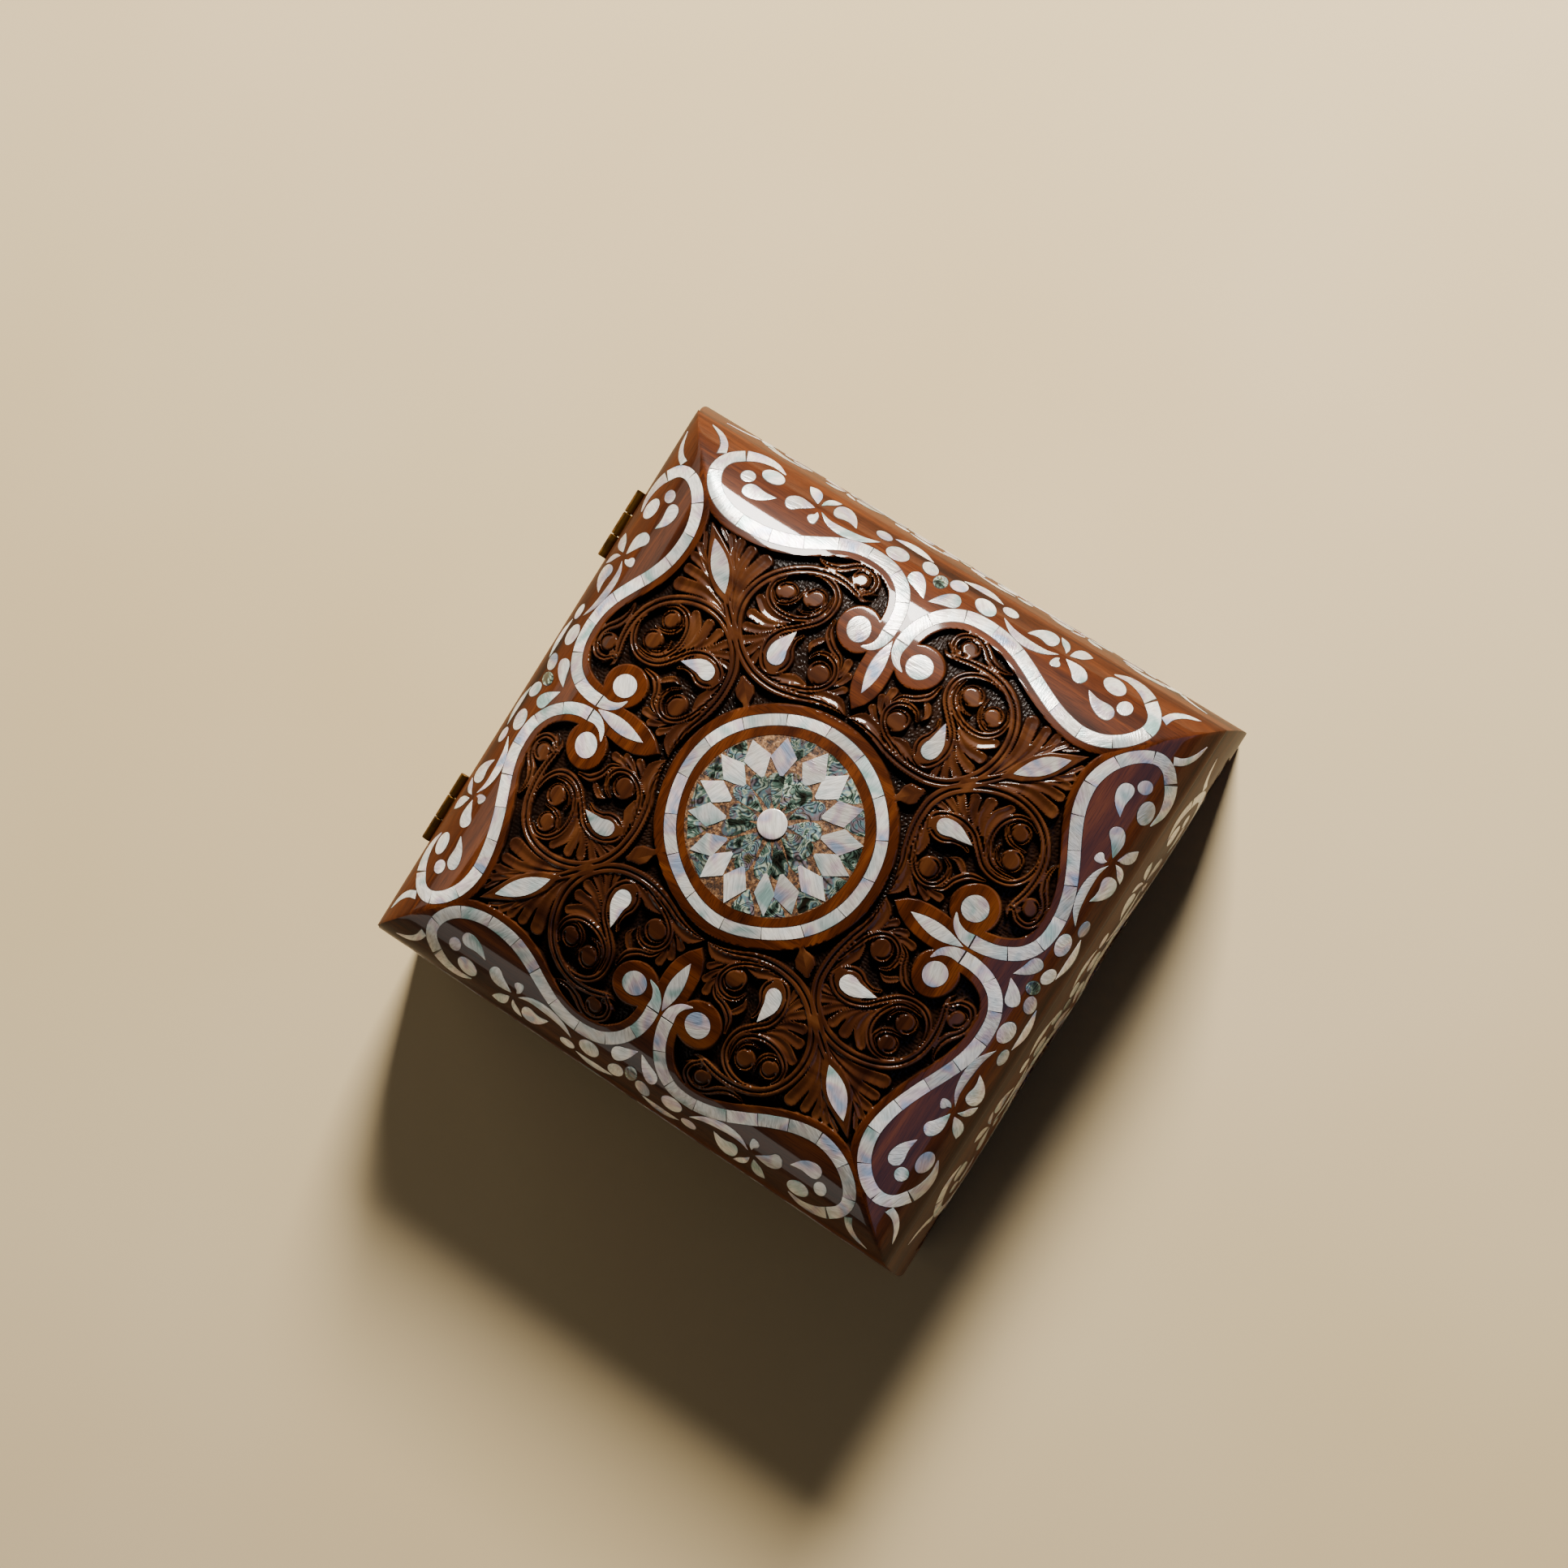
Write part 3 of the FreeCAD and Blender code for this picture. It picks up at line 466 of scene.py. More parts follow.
# ---- The lid's rails and its carved panel ------------------------------------------
# Four mitred rails hold a carved centre board. The top is one cushion-shaped surface,
# its hips soft in the middle and crisp at the corners. Vines, petals and bosses stand
# up from a ground sunk 2.5 mm, punched with dimples and stained nearly black.
RAIL_INNER = 88.0  # the rails' inner face
RAIL_LOW = 8.0  # the rails' underside inside the lid, above the seam
PANEL_LOW = 16.0  # the panel's underside, above the seam
MEDALLION = 33.1  # radius at which the panel's four quarters meet the medallion
BOSS = 38.5  # radius of the smooth wood round the medallion
DIAGONAL = 77.3  # where the joint of panel and rail meets the mitre
FIRST_EDGE = [(0.0, 76.0), (3.0, 78.2), (5.6, 81.0), (8.2, 83.6)]


def lid_height(x, y):
    """The cushion top: four slopes, their hips rounded in the middle of the lid."""
    a, b = np.abs(x), np.abs(y)
    soft = 26.0 * (1.0 - ease(np.maximum(a, b), 25.0, 92.0)) + 0.6
    m = 0.5 * (a + b + np.sqrt((a - b) ** 2 + soft ** 2))
    return seam + slope(np.minimum(m, half))


def warp(x, y):
    """How far the hand-drawn layout strays from true, fading out towards the rim."""
    fade = 1.0 - ease(np.maximum(np.abs(x), np.abs(y)), 84.0, 98.0)
    dx = 0.45 * np.sin(0.071 * x + 0.113 * y + 0.6) + 0.3 * np.sin(0.17 * y - 0.06 * x + 2.1)
    dy = 0.45 * np.sin(0.083 * x - 0.095 * y + 1.9) + 0.3 * np.sin(0.15 * x + 0.07 * y + 4.0)
    return fade * dx, fade * dy


def raised(x, y, lift):
    """Points of the lid's top over a plan, lifted along the surface's normal."""
    e = 0.2
    gx = (lid_height(x + e, y) - lid_height(x - e, y)) / (2 * e)
    gy = (lid_height(x, y + e) - lid_height(x, y - e)) / (2 * e)
    size = np.sqrt(1.0 + gx ** 2 + gy ** 2)
    return np.stack([x - lift * gx / size, y - lift * gy / size,
                     lid_height(x, y) + lift / size], -1)


def on_lid(t, r, lift, turn):
    """A point of the drawn pattern as it lies on the lid, on one of its four sides."""
    x, y = quarter(t, -r, turn)
    dx, dy = warp(x, y)
    return raised(x + dx, y + dy, lift)


LID_VINES = [
    ([(1.0, 40.6), (6, 40.4), (11, 39.4), (16, 37.6), (22, 36.3), (27.5, 36.1), (33, 37.0),
      (38.5, 39.9), (43, 44.8), (45.8, 51), (46.4, 57.5), (44.9, 64), (41.3, 69.6),
      (36, 73.4), (30, 75.0), (24, 74.9), (18.5, 73.6)],
     [0.3, 1.0, 1.3, 1.35, 1.35, 1.35, 1.35, 1.35, 1.3, 0.9]),
    ([(36.5, 71.8), (31.5, 73.2), (26.5, 72.2), (22.9, 69.0), (21.9, 64.5), (23.3, 59.8),
      (27.2, 55.6), (30.9, 52.0), (32.7, 47.4), (32.0, 43.0), (29.6, 39.9), (26.4, 40.2),
      (24.4, 42.6), (24.2, 45.6), (25.6, 48.3), (25.9, 51.5), (25.0, 53.6)],
     [0.4, 0.9, 0.95, 0.95, 0.95, 0.95, 0.95, 0.95, 0.9, 0.5]),
    ([(24.6, 69.4), (23.9, 65.0), (25.0, 60.9), (28.6, 57.9), (33.4, 56.6), (38.2, 57.4),
      (41.6, 60.4), (42.3, 64.4), (40.6, 67.6)], [0.4, 0.9, 0.9, 0.9, 0.5]),
    ([(25.3, 66.4), (25.9, 62.6), (28.4, 60.3), (31.4, 60.2)], [0.3, 0.6, 0.6, 0.3]),
    ([(33.3, 67.6), (33.2, 63.4), (34.8, 60.4), (38.2, 59.2), (41.0, 61.6)],
     [0.3, 0.7, 0.7, 0.3]),
    ([(24.5, 37.6), (19, 39.4), (14.5, 41.2), (11.0, 44.2), (9.7, 48.2), (11.3, 51.7),
      (14.8, 53.0), (18.0, 51.9), (19.6, 49.4)], [0.4, 0.85, 0.85, 0.85, 0.85, 0.4]),
    ([(19.6, 62.6), (18.6, 58.4), (15.4, 55.6), (11.6, 54.2), (9.8, 51.2)],
     [0.5, 1.1, 0.9, 0.5]),
    ([(17.4, 74.4), (15.4, 77.0), (15.6, 80.3), (18.4, 82.4), (21.8, 82.6), (24.6, 81.2),
      (26.8, 79.2), (30.0, 77.7), (33.6, 77.6), (36.4, 78.7)],
     [0.7, 0.9, 0.9, 1.0, 1.3, 0.9, 0.2]),
    ([(42.5, 42.5), (47, 47), (51.5, 51.5)], [1.6, 1.2, 0.8])]
LID_PETALS = [
    ([(0.6, 40.4), (4.5, 42.6), (9.0, 42.2), (13.5, 39.8)], [0.2, 1.5, 1.4, 0.2]),
    ([(29.5, 56.4), (34, 54.6), (38.5, 54.9), (42.6, 57.4)], [0.4, 1.1, 1.5, 1.2]),
    ([(31.4, 54.2), (36, 51.6), (41.6, 51.6)], [0.4, 1.2, 1.5]),
    ([(32.6, 51.6), (36.6, 48.6), (40.6, 47.2)], [0.4, 1.1, 1.4]),
    ([(33.2, 49.2), (35.9, 45.9), (38.8, 43.4)], [0.4, 1.0, 1.3]),
    ([(33.4, 46.8), (34.9, 43.6), (36.2, 40.8)], [0.4, 0.9, 1.2]),
    ([(33.0, 44.2), (33.3, 41.9), (33.3, 39.4)], [0.3, 0.7, 1.0]),
    ([(16.9, 41.3), (19.8, 41.3), (23.5, 40.0), (27.5, 38.6), (31.0, 38.9)],
     [0.9, 1.5, 1.0, 0.5, 0.3]),
    ([(10.5, 43.2), (7.6, 44.6), (5.4, 46.9)], [0.3, 0.8, 1.1]),
    ([(9.6, 45.6), (7.4, 48.4), (6.3, 51.2)], [0.3, 0.8, 1.1]),
    ([(9.4, 48.6), (8.3, 51.8), (8.4, 54.6)], [0.3, 0.9, 1.2]),
    ([(17.6, 57.3), (20.0, 54.9), (21.2, 52.6), (20.6, 50.4)], [0.4, 0.9, 0.9, 0.2]),
    ([(18.2, 75.4), (15.6, 75.6), (13.2, 77.2)], [0.8, 0.6, 0.1]),
    ([(18.5, 73.6), (16.0, 73.0), (13.8, 74.2)], [0.8, 0.6, 0.1]),
    ([(46.8, 48.8), (49.0, 54.0), (50.0, 60.5), (48.6, 68.3)], [0.4, 1.1, 1.7, 1.9]),
    ([(48.4, 50.0), (51.6, 56.2), (53.6, 62.4), (53.9, 68.6)], [0.4, 0.9, 1.4, 1.4]),
    ([(49.8, 51.6), (54.2, 58.6), (57.0, 64.0), (58.0, 68.8)], [0.3, 0.8, 1.2, 1.3]),
    ([(54.6, 60.6), (58.4, 65.2), (61.4, 68.9)], [0.3, 0.9, 1.1]),
    ([(60.4, 66.2), (63.2, 68.2), (65.6, 69.6)], [0.3, 0.8, 0.6])]
LID_BOSSES = [((29.0, 65.8), 3.7), ((37.5, 63.8), 3.4), ((14.5, 47.0), 3.9),
              ((20.5, 78.5), 3.3)]
ALMOND = [(52.6, 52.6), (65.7, 65.7)]
DROP = [(27.2, 53.8), (28.1, 50.0), (28.7, 46.5), (27.6, 41.8)]


def lid_relief(t, r):
    """Depth of the lid's carving below its top surface."""
    relief = np.full(t.shape, GROUND)
    t = np.abs(t)
    strip = curve(STRIP, 1.0)
    for a, b in ((t, r), (r, t), (-t, r)):
        for knots, widths in LID_VINES:
            carve(relief, a, b, knots, [STROKE * w for w in widths], groove=1.2)
        for knots, widths in LID_PETALS:
            carve(relief, a, b, knots, [STROKE * w for w in widths], top=-0.2, scoop=0.7)
        for centre, radius in LID_BOSSES:
            boss(relief, a, b, centre, radius, ring=0.9)
        carve(relief, a, b, [(49.8, 49.8), (69.6, 69.6)], [0.3, 3.2, 4.3, 3.9, 2.2, 0.2])
        carve(relief, a, b, [(27.6, 27.6), (33.0, 33.0)], [1.2, 3.0, 3.2, 1.2])
        carve(relief, a, b, DROP, [0.3, 1.6, 3.0, 4.0, 4.2, 2.6])
        carve(relief, a, b, SPADE, SPADE_WIDTHS, top=0.0)
        carve(relief, a, b, strip, [MARGIN, MARGIN], top=0.0)
        boss(relief, a, b, DISC, COLLAR, top=0.0)
    rho = np.hypot(t, r)
    return np.maximum(relief, GROUND - GROUND * ease(BOSS - rho, -0.2, 0.3))


def spread(points, count):
    """A broken line's points spaced evenly, a given number of them."""
    length = np.concatenate([[0.0], np.cumsum(np.hypot(*np.diff(points, axis=0).T))])
    even = np.linspace(0.0, length[-1], count)
    return np.stack([np.interp(even, length, points[:, k]) for k in (0, 1)], -1)


def joint_line(count):
    """The joint of panel and rail, which runs under the shell strip."""
    line = curve(FIRST_EDGE + STRIP[4:-5], 0.5)
    line = spread(np.vstack([line, (DIAGONAL, DIAGONAL)]), count)
    return np.vstack([line[:0:-1] * (-1, 1), line])


columns, rows = 281, 146
edge = joint_line(columns)
share = np.linspace(-1.0, 1.0, len(edge))
start = MEDALLION * np.stack([np.sin(share * math.pi / 4), np.cos(share * math.pi / 4)], -1)
steps = np.linspace(0.0, 1.0, rows)[:, None]
for turn, side in enumerate(SIDES):
    t = start[:, 0] + (edge[:, 0] - start[:, 0]) * steps
    r = start[:, 1] + (edge[:, 1] - start[:, 1]) * steps
    x, y = quarter(t, -r, turn)
    dx, dy = warp(x, y)
    a, b = quarter(x - dx, y - dy, (4 - turn) % 4)
    relief = lid_relief(a, -b)
    # how deep each point lies in a hollow; the carved walnut paints shade there
    hollow = np.clip((softened(relief, 5) - relief) * 1.2, 0.0, 1.0)
    lift = relief - stipple(x, y) * ease(-relief, 2.2, 2.45)
    top = raised(x, y, 0.0)
    top[..., 2] += lift
    closing = top[[-1, 0]].copy()
    closing[..., 2] = seam + PANEL_LOW
    verts, faces = bar(np.concatenate([top, closing]))
    marks = {"depth": padded_rows(relief, 2), "hollow": padded_rows(hollow, 2)}
    piece(f"lid_panel_{side}", verts, faces, walnut_carved[turn % 2], "lid",
          ["lid_panel"], "walnut", 60.0, marks)

edge = joint_line(141)
rim_edge = edge * [half / DIAGONAL, 0.0] + [0.0, half]
steps = 0.996 * np.linspace(0.0, 1.0, 41)[:, None]  # the top stops short of the eased rim
for turn, side in enumerate(SIDES):
    t = edge[:, 0] + (rim_edge[:, 0] - edge[:, 0]) * steps
    r = edge[:, 1] + (rim_edge[:, 1] - edge[:, 1]) * steps
    x, y = quarter(t, -r, turn)
    top = raised(x, y, 0.0)
    closing = []
    for out, z in ((half - 0.02, seam + rim - 0.25), (half, seam + rim - 0.7),
                   (half, seam + 0.35), (half - 0.3, seam + SEAM_GAP),
                   (RAIL_INNER, seam + SEAM_GAP),
                   (RAIL_INNER, seam + RAIL_LOW), (0.0, seam + RAIL_LOW)):
        row = rim_edge * out / half if out else edge
        x, y = quarter(row[:, 0], -row[:, 1], turn)
        closing.append(np.stack([x, y, np.full(len(x), z)], -1))
    verts, faces = bar(np.concatenate([top, np.stack(closing)]))
    piece(f"lid_rail_{side}_lacquered", verts, faces, walnut_grain[turn % 2], "lid",
          [f"lid_rail_{side}"], "walnut", 30.0)


# ---- The medallion ------------------------------------------------------------------
# The middle of the lid: a lacquered disc of walnut that carries a ring of sixteen shell
# tesserae, a star of sixteen kites over an abalone ground, and a shell button.


def slab(top, bottom, ring=False):
    """A closed plate between two grids of points; a ring's first row is its middle."""
    rows, columns = top.shape[:2]
    upper = np.arange(rows * columns).reshape(rows, columns)
    if ring:
        upper = np.hstack([upper, upper[:, :1]])
    lower = upper + rows * columns
    loop = [(upper[-1], lower[-1])]
    if not ring:
        loop += [(lower[0], upper[0]), (lower[:, -1], upper[:, -1]),
                 (upper[:, 0], lower[:, 0])]
    faces = []
    for a, flip in ((upper, 1), (lower, -1)):
        quads = np.stack([a[:-1, :-1], a[1:, :-1], a[1:, 1:], a[:-1, 1:]], -1)
        faces.append(quads.reshape(-1, 4)[:, ::flip])
    for a, b in loop:
        faces.append(np.stack([a[:-1], b[:-1], b[1:], a[1:]], -1))
    return np.concatenate([top.reshape(-1, 3), bottom.reshape(-1, 3)]), np.concatenate(faces)


turns = np.linspace(0.0, 2 * math.pi, 121)[:-1]
radii = np.concatenate([np.linspace(0.0, 28.0, 12), np.linspace(28.12, MEDALLION, 12)])
x, y = radii[:, None] * np.cos(turns), radii[:, None] * np.sin(turns)
top = raised(x, y, 0.0)
top[..., :2] = np.stack([x, y], -1)
top[:12, :, 2] -= 0.5
bottom = np.stack([x, y, np.full(x.shape, seam + PANEL_LOW)], -1)
verts, faces = slab(top, bottom, ring=True)
piece("medallion_disc", verts, faces.tolist(), walnut_grain[0], "lid", ["lid_panel"],
      "walnut", 40.0)


# ---- The shell inlay ------------------------------------------------------------------
# Pieces of mother-of-pearl sawn to shape, each let into its own pocket and bedded in
# dark mastic that shows as a hairline round it. Curved strips of sawn tesserae outline
# the carving; between them and the rim runs a vine of leaves, ovals and commas.


def nacre():
    """Mother-of-pearl: silvery white with faint pink, green and blue, glossy, and
    lighter or darker from piece to piece by painted sheen, as if its layers caught or missed
    the light."""
    material, tree = new_material("mother of pearl")
    where = add(tree, "ShaderNodeTexCoord").outputs["Object"]
    lay = add(tree, "ShaderNodeAttribute", {"attribute_name": "lay"}).outputs["Fac"]
    spin = add(tree, "ShaderNodeMath", {"operation": "MULTIPLY", 1: 9.0}, {0: lay}).outputs[0]
    angle = add(tree, "ShaderNodeCombineXYZ", links={2: spin}).outputs[0]
    laid = add(tree, "ShaderNodeMapping", {"vector_type": "POINT"},
               {"Vector": where, "Rotation": angle}).outputs[0]
    # bands of growth about 4 mm wide that wander, their tint changing from one to the next
    noise = add(tree, "ShaderNodeTexNoise", {"noise_dimensions": "4D", "Scale": 105.0,
                                             "Detail": 1.0, "Distortion": 0.7},
                {"Vector": where, "W": lay}).outputs[0]
    tint = ramp(tree, noise, [(0.28, "#a3c9c5"), (0.38, "#dbe8e8"), (0.46, "#fbfbf8"),
                              (0.53, "#fffaf0"), (0.60, "#ecd6de"), (0.70, "#a9bcdc")])
    # streaks about 0.7 mm wide and 5 mm long, lying another way in every piece
    long = add(tree, "ShaderNodeMapping", {"Scale": (200, 1500, 600)}, {"Vector": laid})
    streak = add(tree, "ShaderNodeTexNoise", {"noise_dimensions": "4D", "Scale": 1.0,
                                              "Detail": 3.0, "Distortion": 0.8},
                 {"Vector": long.outputs[0], "W": lay}).outputs[0]
    # painted sheen: each piece's colour is scaled between half and full by its lay, standing
    # for layers that catch or miss the light
    depth = add(tree, "ShaderNodeMapRange", {"To Min": 0.5, "To Max": 1.0},
                {"Value": lay}).outputs[0]
    cloud = add(tree, "ShaderNodeMapRange", {"From Min": 0.34, "From Max": 0.6,
                                             "To Min": 0.72, "To Max": 1.05},
                {"Value": streak}).outputs[0]
    painted_sheen_and_streaks = add(tree, "ShaderNodeMath", {"operation": "MULTIPLY"},
               {0: depth, 1: cloud}).outputs[0]
    colour = add(tree, "ShaderNodeMix", {"data_type": "RGBA", "blend_type": "MULTIPLY",
                                         0: 1.0}, {6: tint, 7: painted_sheen_and_streaks}).outputs[2]
    bump = add(tree, "ShaderNodeBump", {"Strength": 0.5, "Distance": 0.0003},
               {"Height": streak})
    shader = add(tree, "ShaderNodeBsdfPrincipled",
                 {"Roughness": 0.26, "Metallic": 0.2, "IOR": 1.5, "Coat Weight": 0.3,
                  "Coat Roughness": 0.05},
                 {"Base Color": colour, "Normal": bump.outputs[0]})
    add(tree, "ShaderNodeOutputMaterial", links={0: shader.outputs[0]})
    return material


def mastic():
    """Mastic: nearly black, dull, slightly grainy."""
    material, tree = new_material("dark mastic")
    where = add(tree, "ShaderNodeTexCoord").outputs["Object"]
    noise = add(tree, "ShaderNodeTexNoise", {"Scale": 1800.0, "Detail": 2.0},
                {"Vector": where}).outputs[0]
    colour = ramp(tree, noise, [(0.35, "#0d0806"), (0.65, "#21130c")])
    shader = add(tree, "ShaderNodeBsdfPrincipled", {"Roughness": 0.45},
                 {"Base Color": colour})
    add(tree, "ShaderNodeOutputMaterial", links={0: shader.outputs[0]})
    return material


shell, filler = nacre(), mastic()


def laws(name, u):
    """Half-width along a piece: a leaf, a horn wide at its root, a teardrop, or a disc."""
    if name == "leaf":
        return np.sin(math.pi * u) ** 0.9
    if name == "horn":
        return np.maximum(1.0 - u, 0.0) ** 0.7
    if name == "tear":
        return u ** 0.9 * np.sqrt(np.maximum(1.0 - u ** 4, 0.0)) / 0.64
    return 2.0 * np.sqrt(np.maximum(u * (1.0 - u), 0.0))


def outline(path, halves):
    """The two edges of a piece of changing width along a line, as a grid of rows."""
    along = np.gradient(path, axis=0)
    along /= np.maximum(np.hypot(*along.T), 1e-9)[:, None]
    normal = np.stack([-along[:, 1], along[:, 0]], -1)
    spans = np.linspace(-1.0, 1.0, 6)[None, :, None]
    return path[:, None] + normal[:, None] * halves[:, None, None] * spans


def cut_piece(knots, width, law, grow=0.0):
    """One sawn piece of shell in the plan of the pattern."""
    fine = curve(knots, 0.1)
    u = 0.5 - 0.5 * np.cos(np.linspace(0.0, math.pi, 17))
    if grow:
        ends = np.array([2 * fine[0] - fine[1], 2 * fine[-1] - fine[-2]])
        ends = fine[[0, -1]] + (ends - fine[[0, -1]]) * grow / 0.1
        fine = np.vstack([ends[:1], fine, ends[1:]])
    place = np.linspace(0.0, 1.0, len(fine))
    path = np.stack([np.interp(u, place, fine[:, k]) for k in (0, 1)], -1)
    return outline(path, (width + grow) * laws(law, u))


def oval(t, r, length, width, turn=0.0, grow=0.0):
    """An oval piece about a point, its length turned by some degrees."""
    c, s = math.cos(math.radians(turn)) * length / 2, math.sin(math.radians(turn)) * length / 2
    return cut_piece([(t - c, r - s), (t, r), (t + c, r + s)], width / 2, "disc", grow)


def strip_cuts(grow=0.0):
    """One half of a strip: a tapering hook, ten tesserae, and a tapering end."""
    joint = 0.125 - grow
    parts = []
    hook = curve(STRIP_HOOK + STRIP[:2], 0.4)
    hook = hook[hook[:, 1] < STRIP[0][1] - joint]
    rise = np.linspace(0.02, 1.0, len(hook)) ** 0.7
    parts.append(outline(hook, (STRIP_W + grow) * rise))
    main = curve(STRIP, 0.2)
    bounds = np.linspace(0, len(main) - 1, 11)
    trim = joint / 0.2
    for a, b in zip(bounds, bounds[1:]):
        k = np.linspace(a + trim, b - trim, 9)
        path = np.stack([np.interp(k, np.arange(len(main)), main[:, c]) for c in (0, 1)], -1)
        parts.append(outline(path, np.full(9, STRIP_W + grow)))
    end = curve([STRIP[-2]] + [STRIP[-1]] + STRIP_END, 0.4)
    first = np.argmin(np.hypot(*(end - STRIP[-1]).T))
    end = end[first:]
    if joint > 0:
        end = end[1:]
    fall = np.linspace(1.0, 0.02, len(end)) ** 0.7
    parts.append(outline(end, (STRIP_W + grow) * fall))
    return parts


VINE = [([(0.8, 84.2), (4.6, 87.4), (8.8, 89.6)], 2.3, "tear"),
        ([(5.6, 96.5), (10.5, 97.2), (15.5, 97.3), (20.2, 96.6)], 0.95, "leaf"),
        ([(23.0, 92.9), (28.0, 90.5), (34.0, 89.4), (40.0, 89.7), (44.2, 91.4)], 1.3, "leaf"),
        ([(31.9, 92.6), (34.6, 94.3), (37.6, 95.0), (41.6, 94.3)], 2.3, "tear"),
        ([(45.6, 93.2), (44.5, 95.4), (41.2, 97.4)], 1.0, "leaf"),
        ([(47.0, 93.0), (49.2, 95.4), (53.0, 96.8)], 1.6, "leaf"),
        ([(46.8, 91.4), (49.6, 90.7), (52.6, 89.6), (55.0, 87.2)], 2.35, "tear"),
        ([(45.0, 90.6), (44.6, 89.2), (45.4, 86.9)], 1.6, "tear"),
        ([(58.2, 86.9), (61.8, 84.9), (65.0, 84.3), (68.4, 84.5)], 2.35, "tear"),
        ([(81.9, 91.0), (83.6, 93.9), (87.0, 96.2), (91.8, 97.6)], 1.3, "horn")]
OVALS = [(5.3, 94.0, 5.8, 3.9, 15), (16.2, 92.6, 7.6, 4.7, -5), (23.6, 95.6, 5.6, 2.6, 0),
         (63.8, 92.6, 7.6, 4.9, -4), (70.0, 88.3, 4.7, 4.2, 30)]


def vine_cuts(grow=0.0):
    """One half of a border vine: its leaves, teardrops and ovals."""
    parts = [cut_piece(knots, width, law, grow) for knots, width, law in VINE]
    return parts + [oval(*sizes, grow=grow) for sizes in OVALS]


def mirrored(parts):
    """The pieces of one half and of the other."""
    return parts + [part * (-1, 1) for part in parts]


def inlay(name, parts, turns, plot, body, nodes, material, slot, top=0.1, deep=0.7,
          loose=0.06):
    """Lays flat pieces on a curved face, each with its own lie and slight tilt."""
    verts, faces, lays = [], [], []
    count = 0
    for turn in turns:
        for part in parts:
            shift = rng.normal(0.0, loose, 2)
            tilt = np.clip(rng.normal(0.0, 0.02, 2), -0.025, 0.025)
            middle = part.mean((0, 1))
            away = part - middle
            size = max(np.abs(away).max(), 0.5)
            lift = np.full(part.shape[:2], top)
            if loose:
                lift = top + (away / size * tilt).sum(-1)
                lift[:, [0, -1]] -= 0.04
            t, r = part[..., 0] + shift[0], part[..., 1] + shift[1]
            v, f = slab(plot(t, r, lift, turn), plot(t, r, top - deep, turn))
            verts.append(v)
            faces.append(f + count)
            count += len(v)
            # each piece's random lay sets its tint, the turn of its streaks, and how bright
            # the shell's painted sheen makes it
            lays.append(np.full(len(v), rng.random()))
    return piece(name, np.concatenate(verts), np.concatenate(faces).tolist(), material, body,
                 nodes, slot, 40.0, {"lay": np.concatenate(lays)})


def wall_plot(t, r, lift, turn):
    """A point of the border pattern as it lies on a wall."""
    return on_wall(t, wall_z(r), lift, turn)


strips, strip_beds = mirrored(strip_cuts()), mirrored(strip_cuts(0.2))
vines, vine_beds = mirrored(vine_cuts()), mirrored(vine_cuts(0.22))
for turn, side in enumerate(SIDES):
    inlay(f"lid_strip_{side}_shell", strips, [turn], on_lid, "lid",
          [f"lid_strip_{side}"], shell, "pearl", loose=0.03)
    inlay(f"lid_vine_{side}_shell", vines, [turn], on_lid, "lid",
          [f"lid_vine_{side}"], shell, "pearl")
    inlay(f"wall_strip_{side}_shell", strips, [turn], wall_plot, "box",
          [f"wall_strip_{side}"], shell, "pearl", loose=0.03)
    inlay(f"wall_vine_{side}_shell", vines, [turn], wall_plot, "box",
          [f"wall_vine_{side}"], shell, "pearl")

discs = mirrored([oval(*DISC, 8.0, 8.0)])
disc_beds = mirrored([oval(*DISC, 8.0, 8.0, grow=0.22)])
CUSP = [(0.0, 68.0), (0.0, 49.3)]
cusps = [cut_piece(CUSP, 2.2, "leaf")]
drops = mirrored([cut_piece(DROP, 2.7, "tear")])
every = range(4)
inlay("scroll_discs_shell", discs, every, on_lid, "lid", ["scroll_discs"], shell, "pearl")
inlay("cusp_leaves_shell", cusps, every, on_lid, "lid", ["cusp_leaves"], shell, "pearl")
inlay("rosette_drops_shell", drops, every, on_lid, "lid", ["rosette_drops"], shell, "pearl")
inlay("corner_almonds_shell", [cut_piece(ALMOND, 2.8, "leaf")], every, on_lid, "lid",
      ["corner_almonds"], shell, "pearl")


# ---- The flower eyes ---------------------------------------------------------------------
# A disc of abalone in the middle of each border flower, set over the petals' ends.


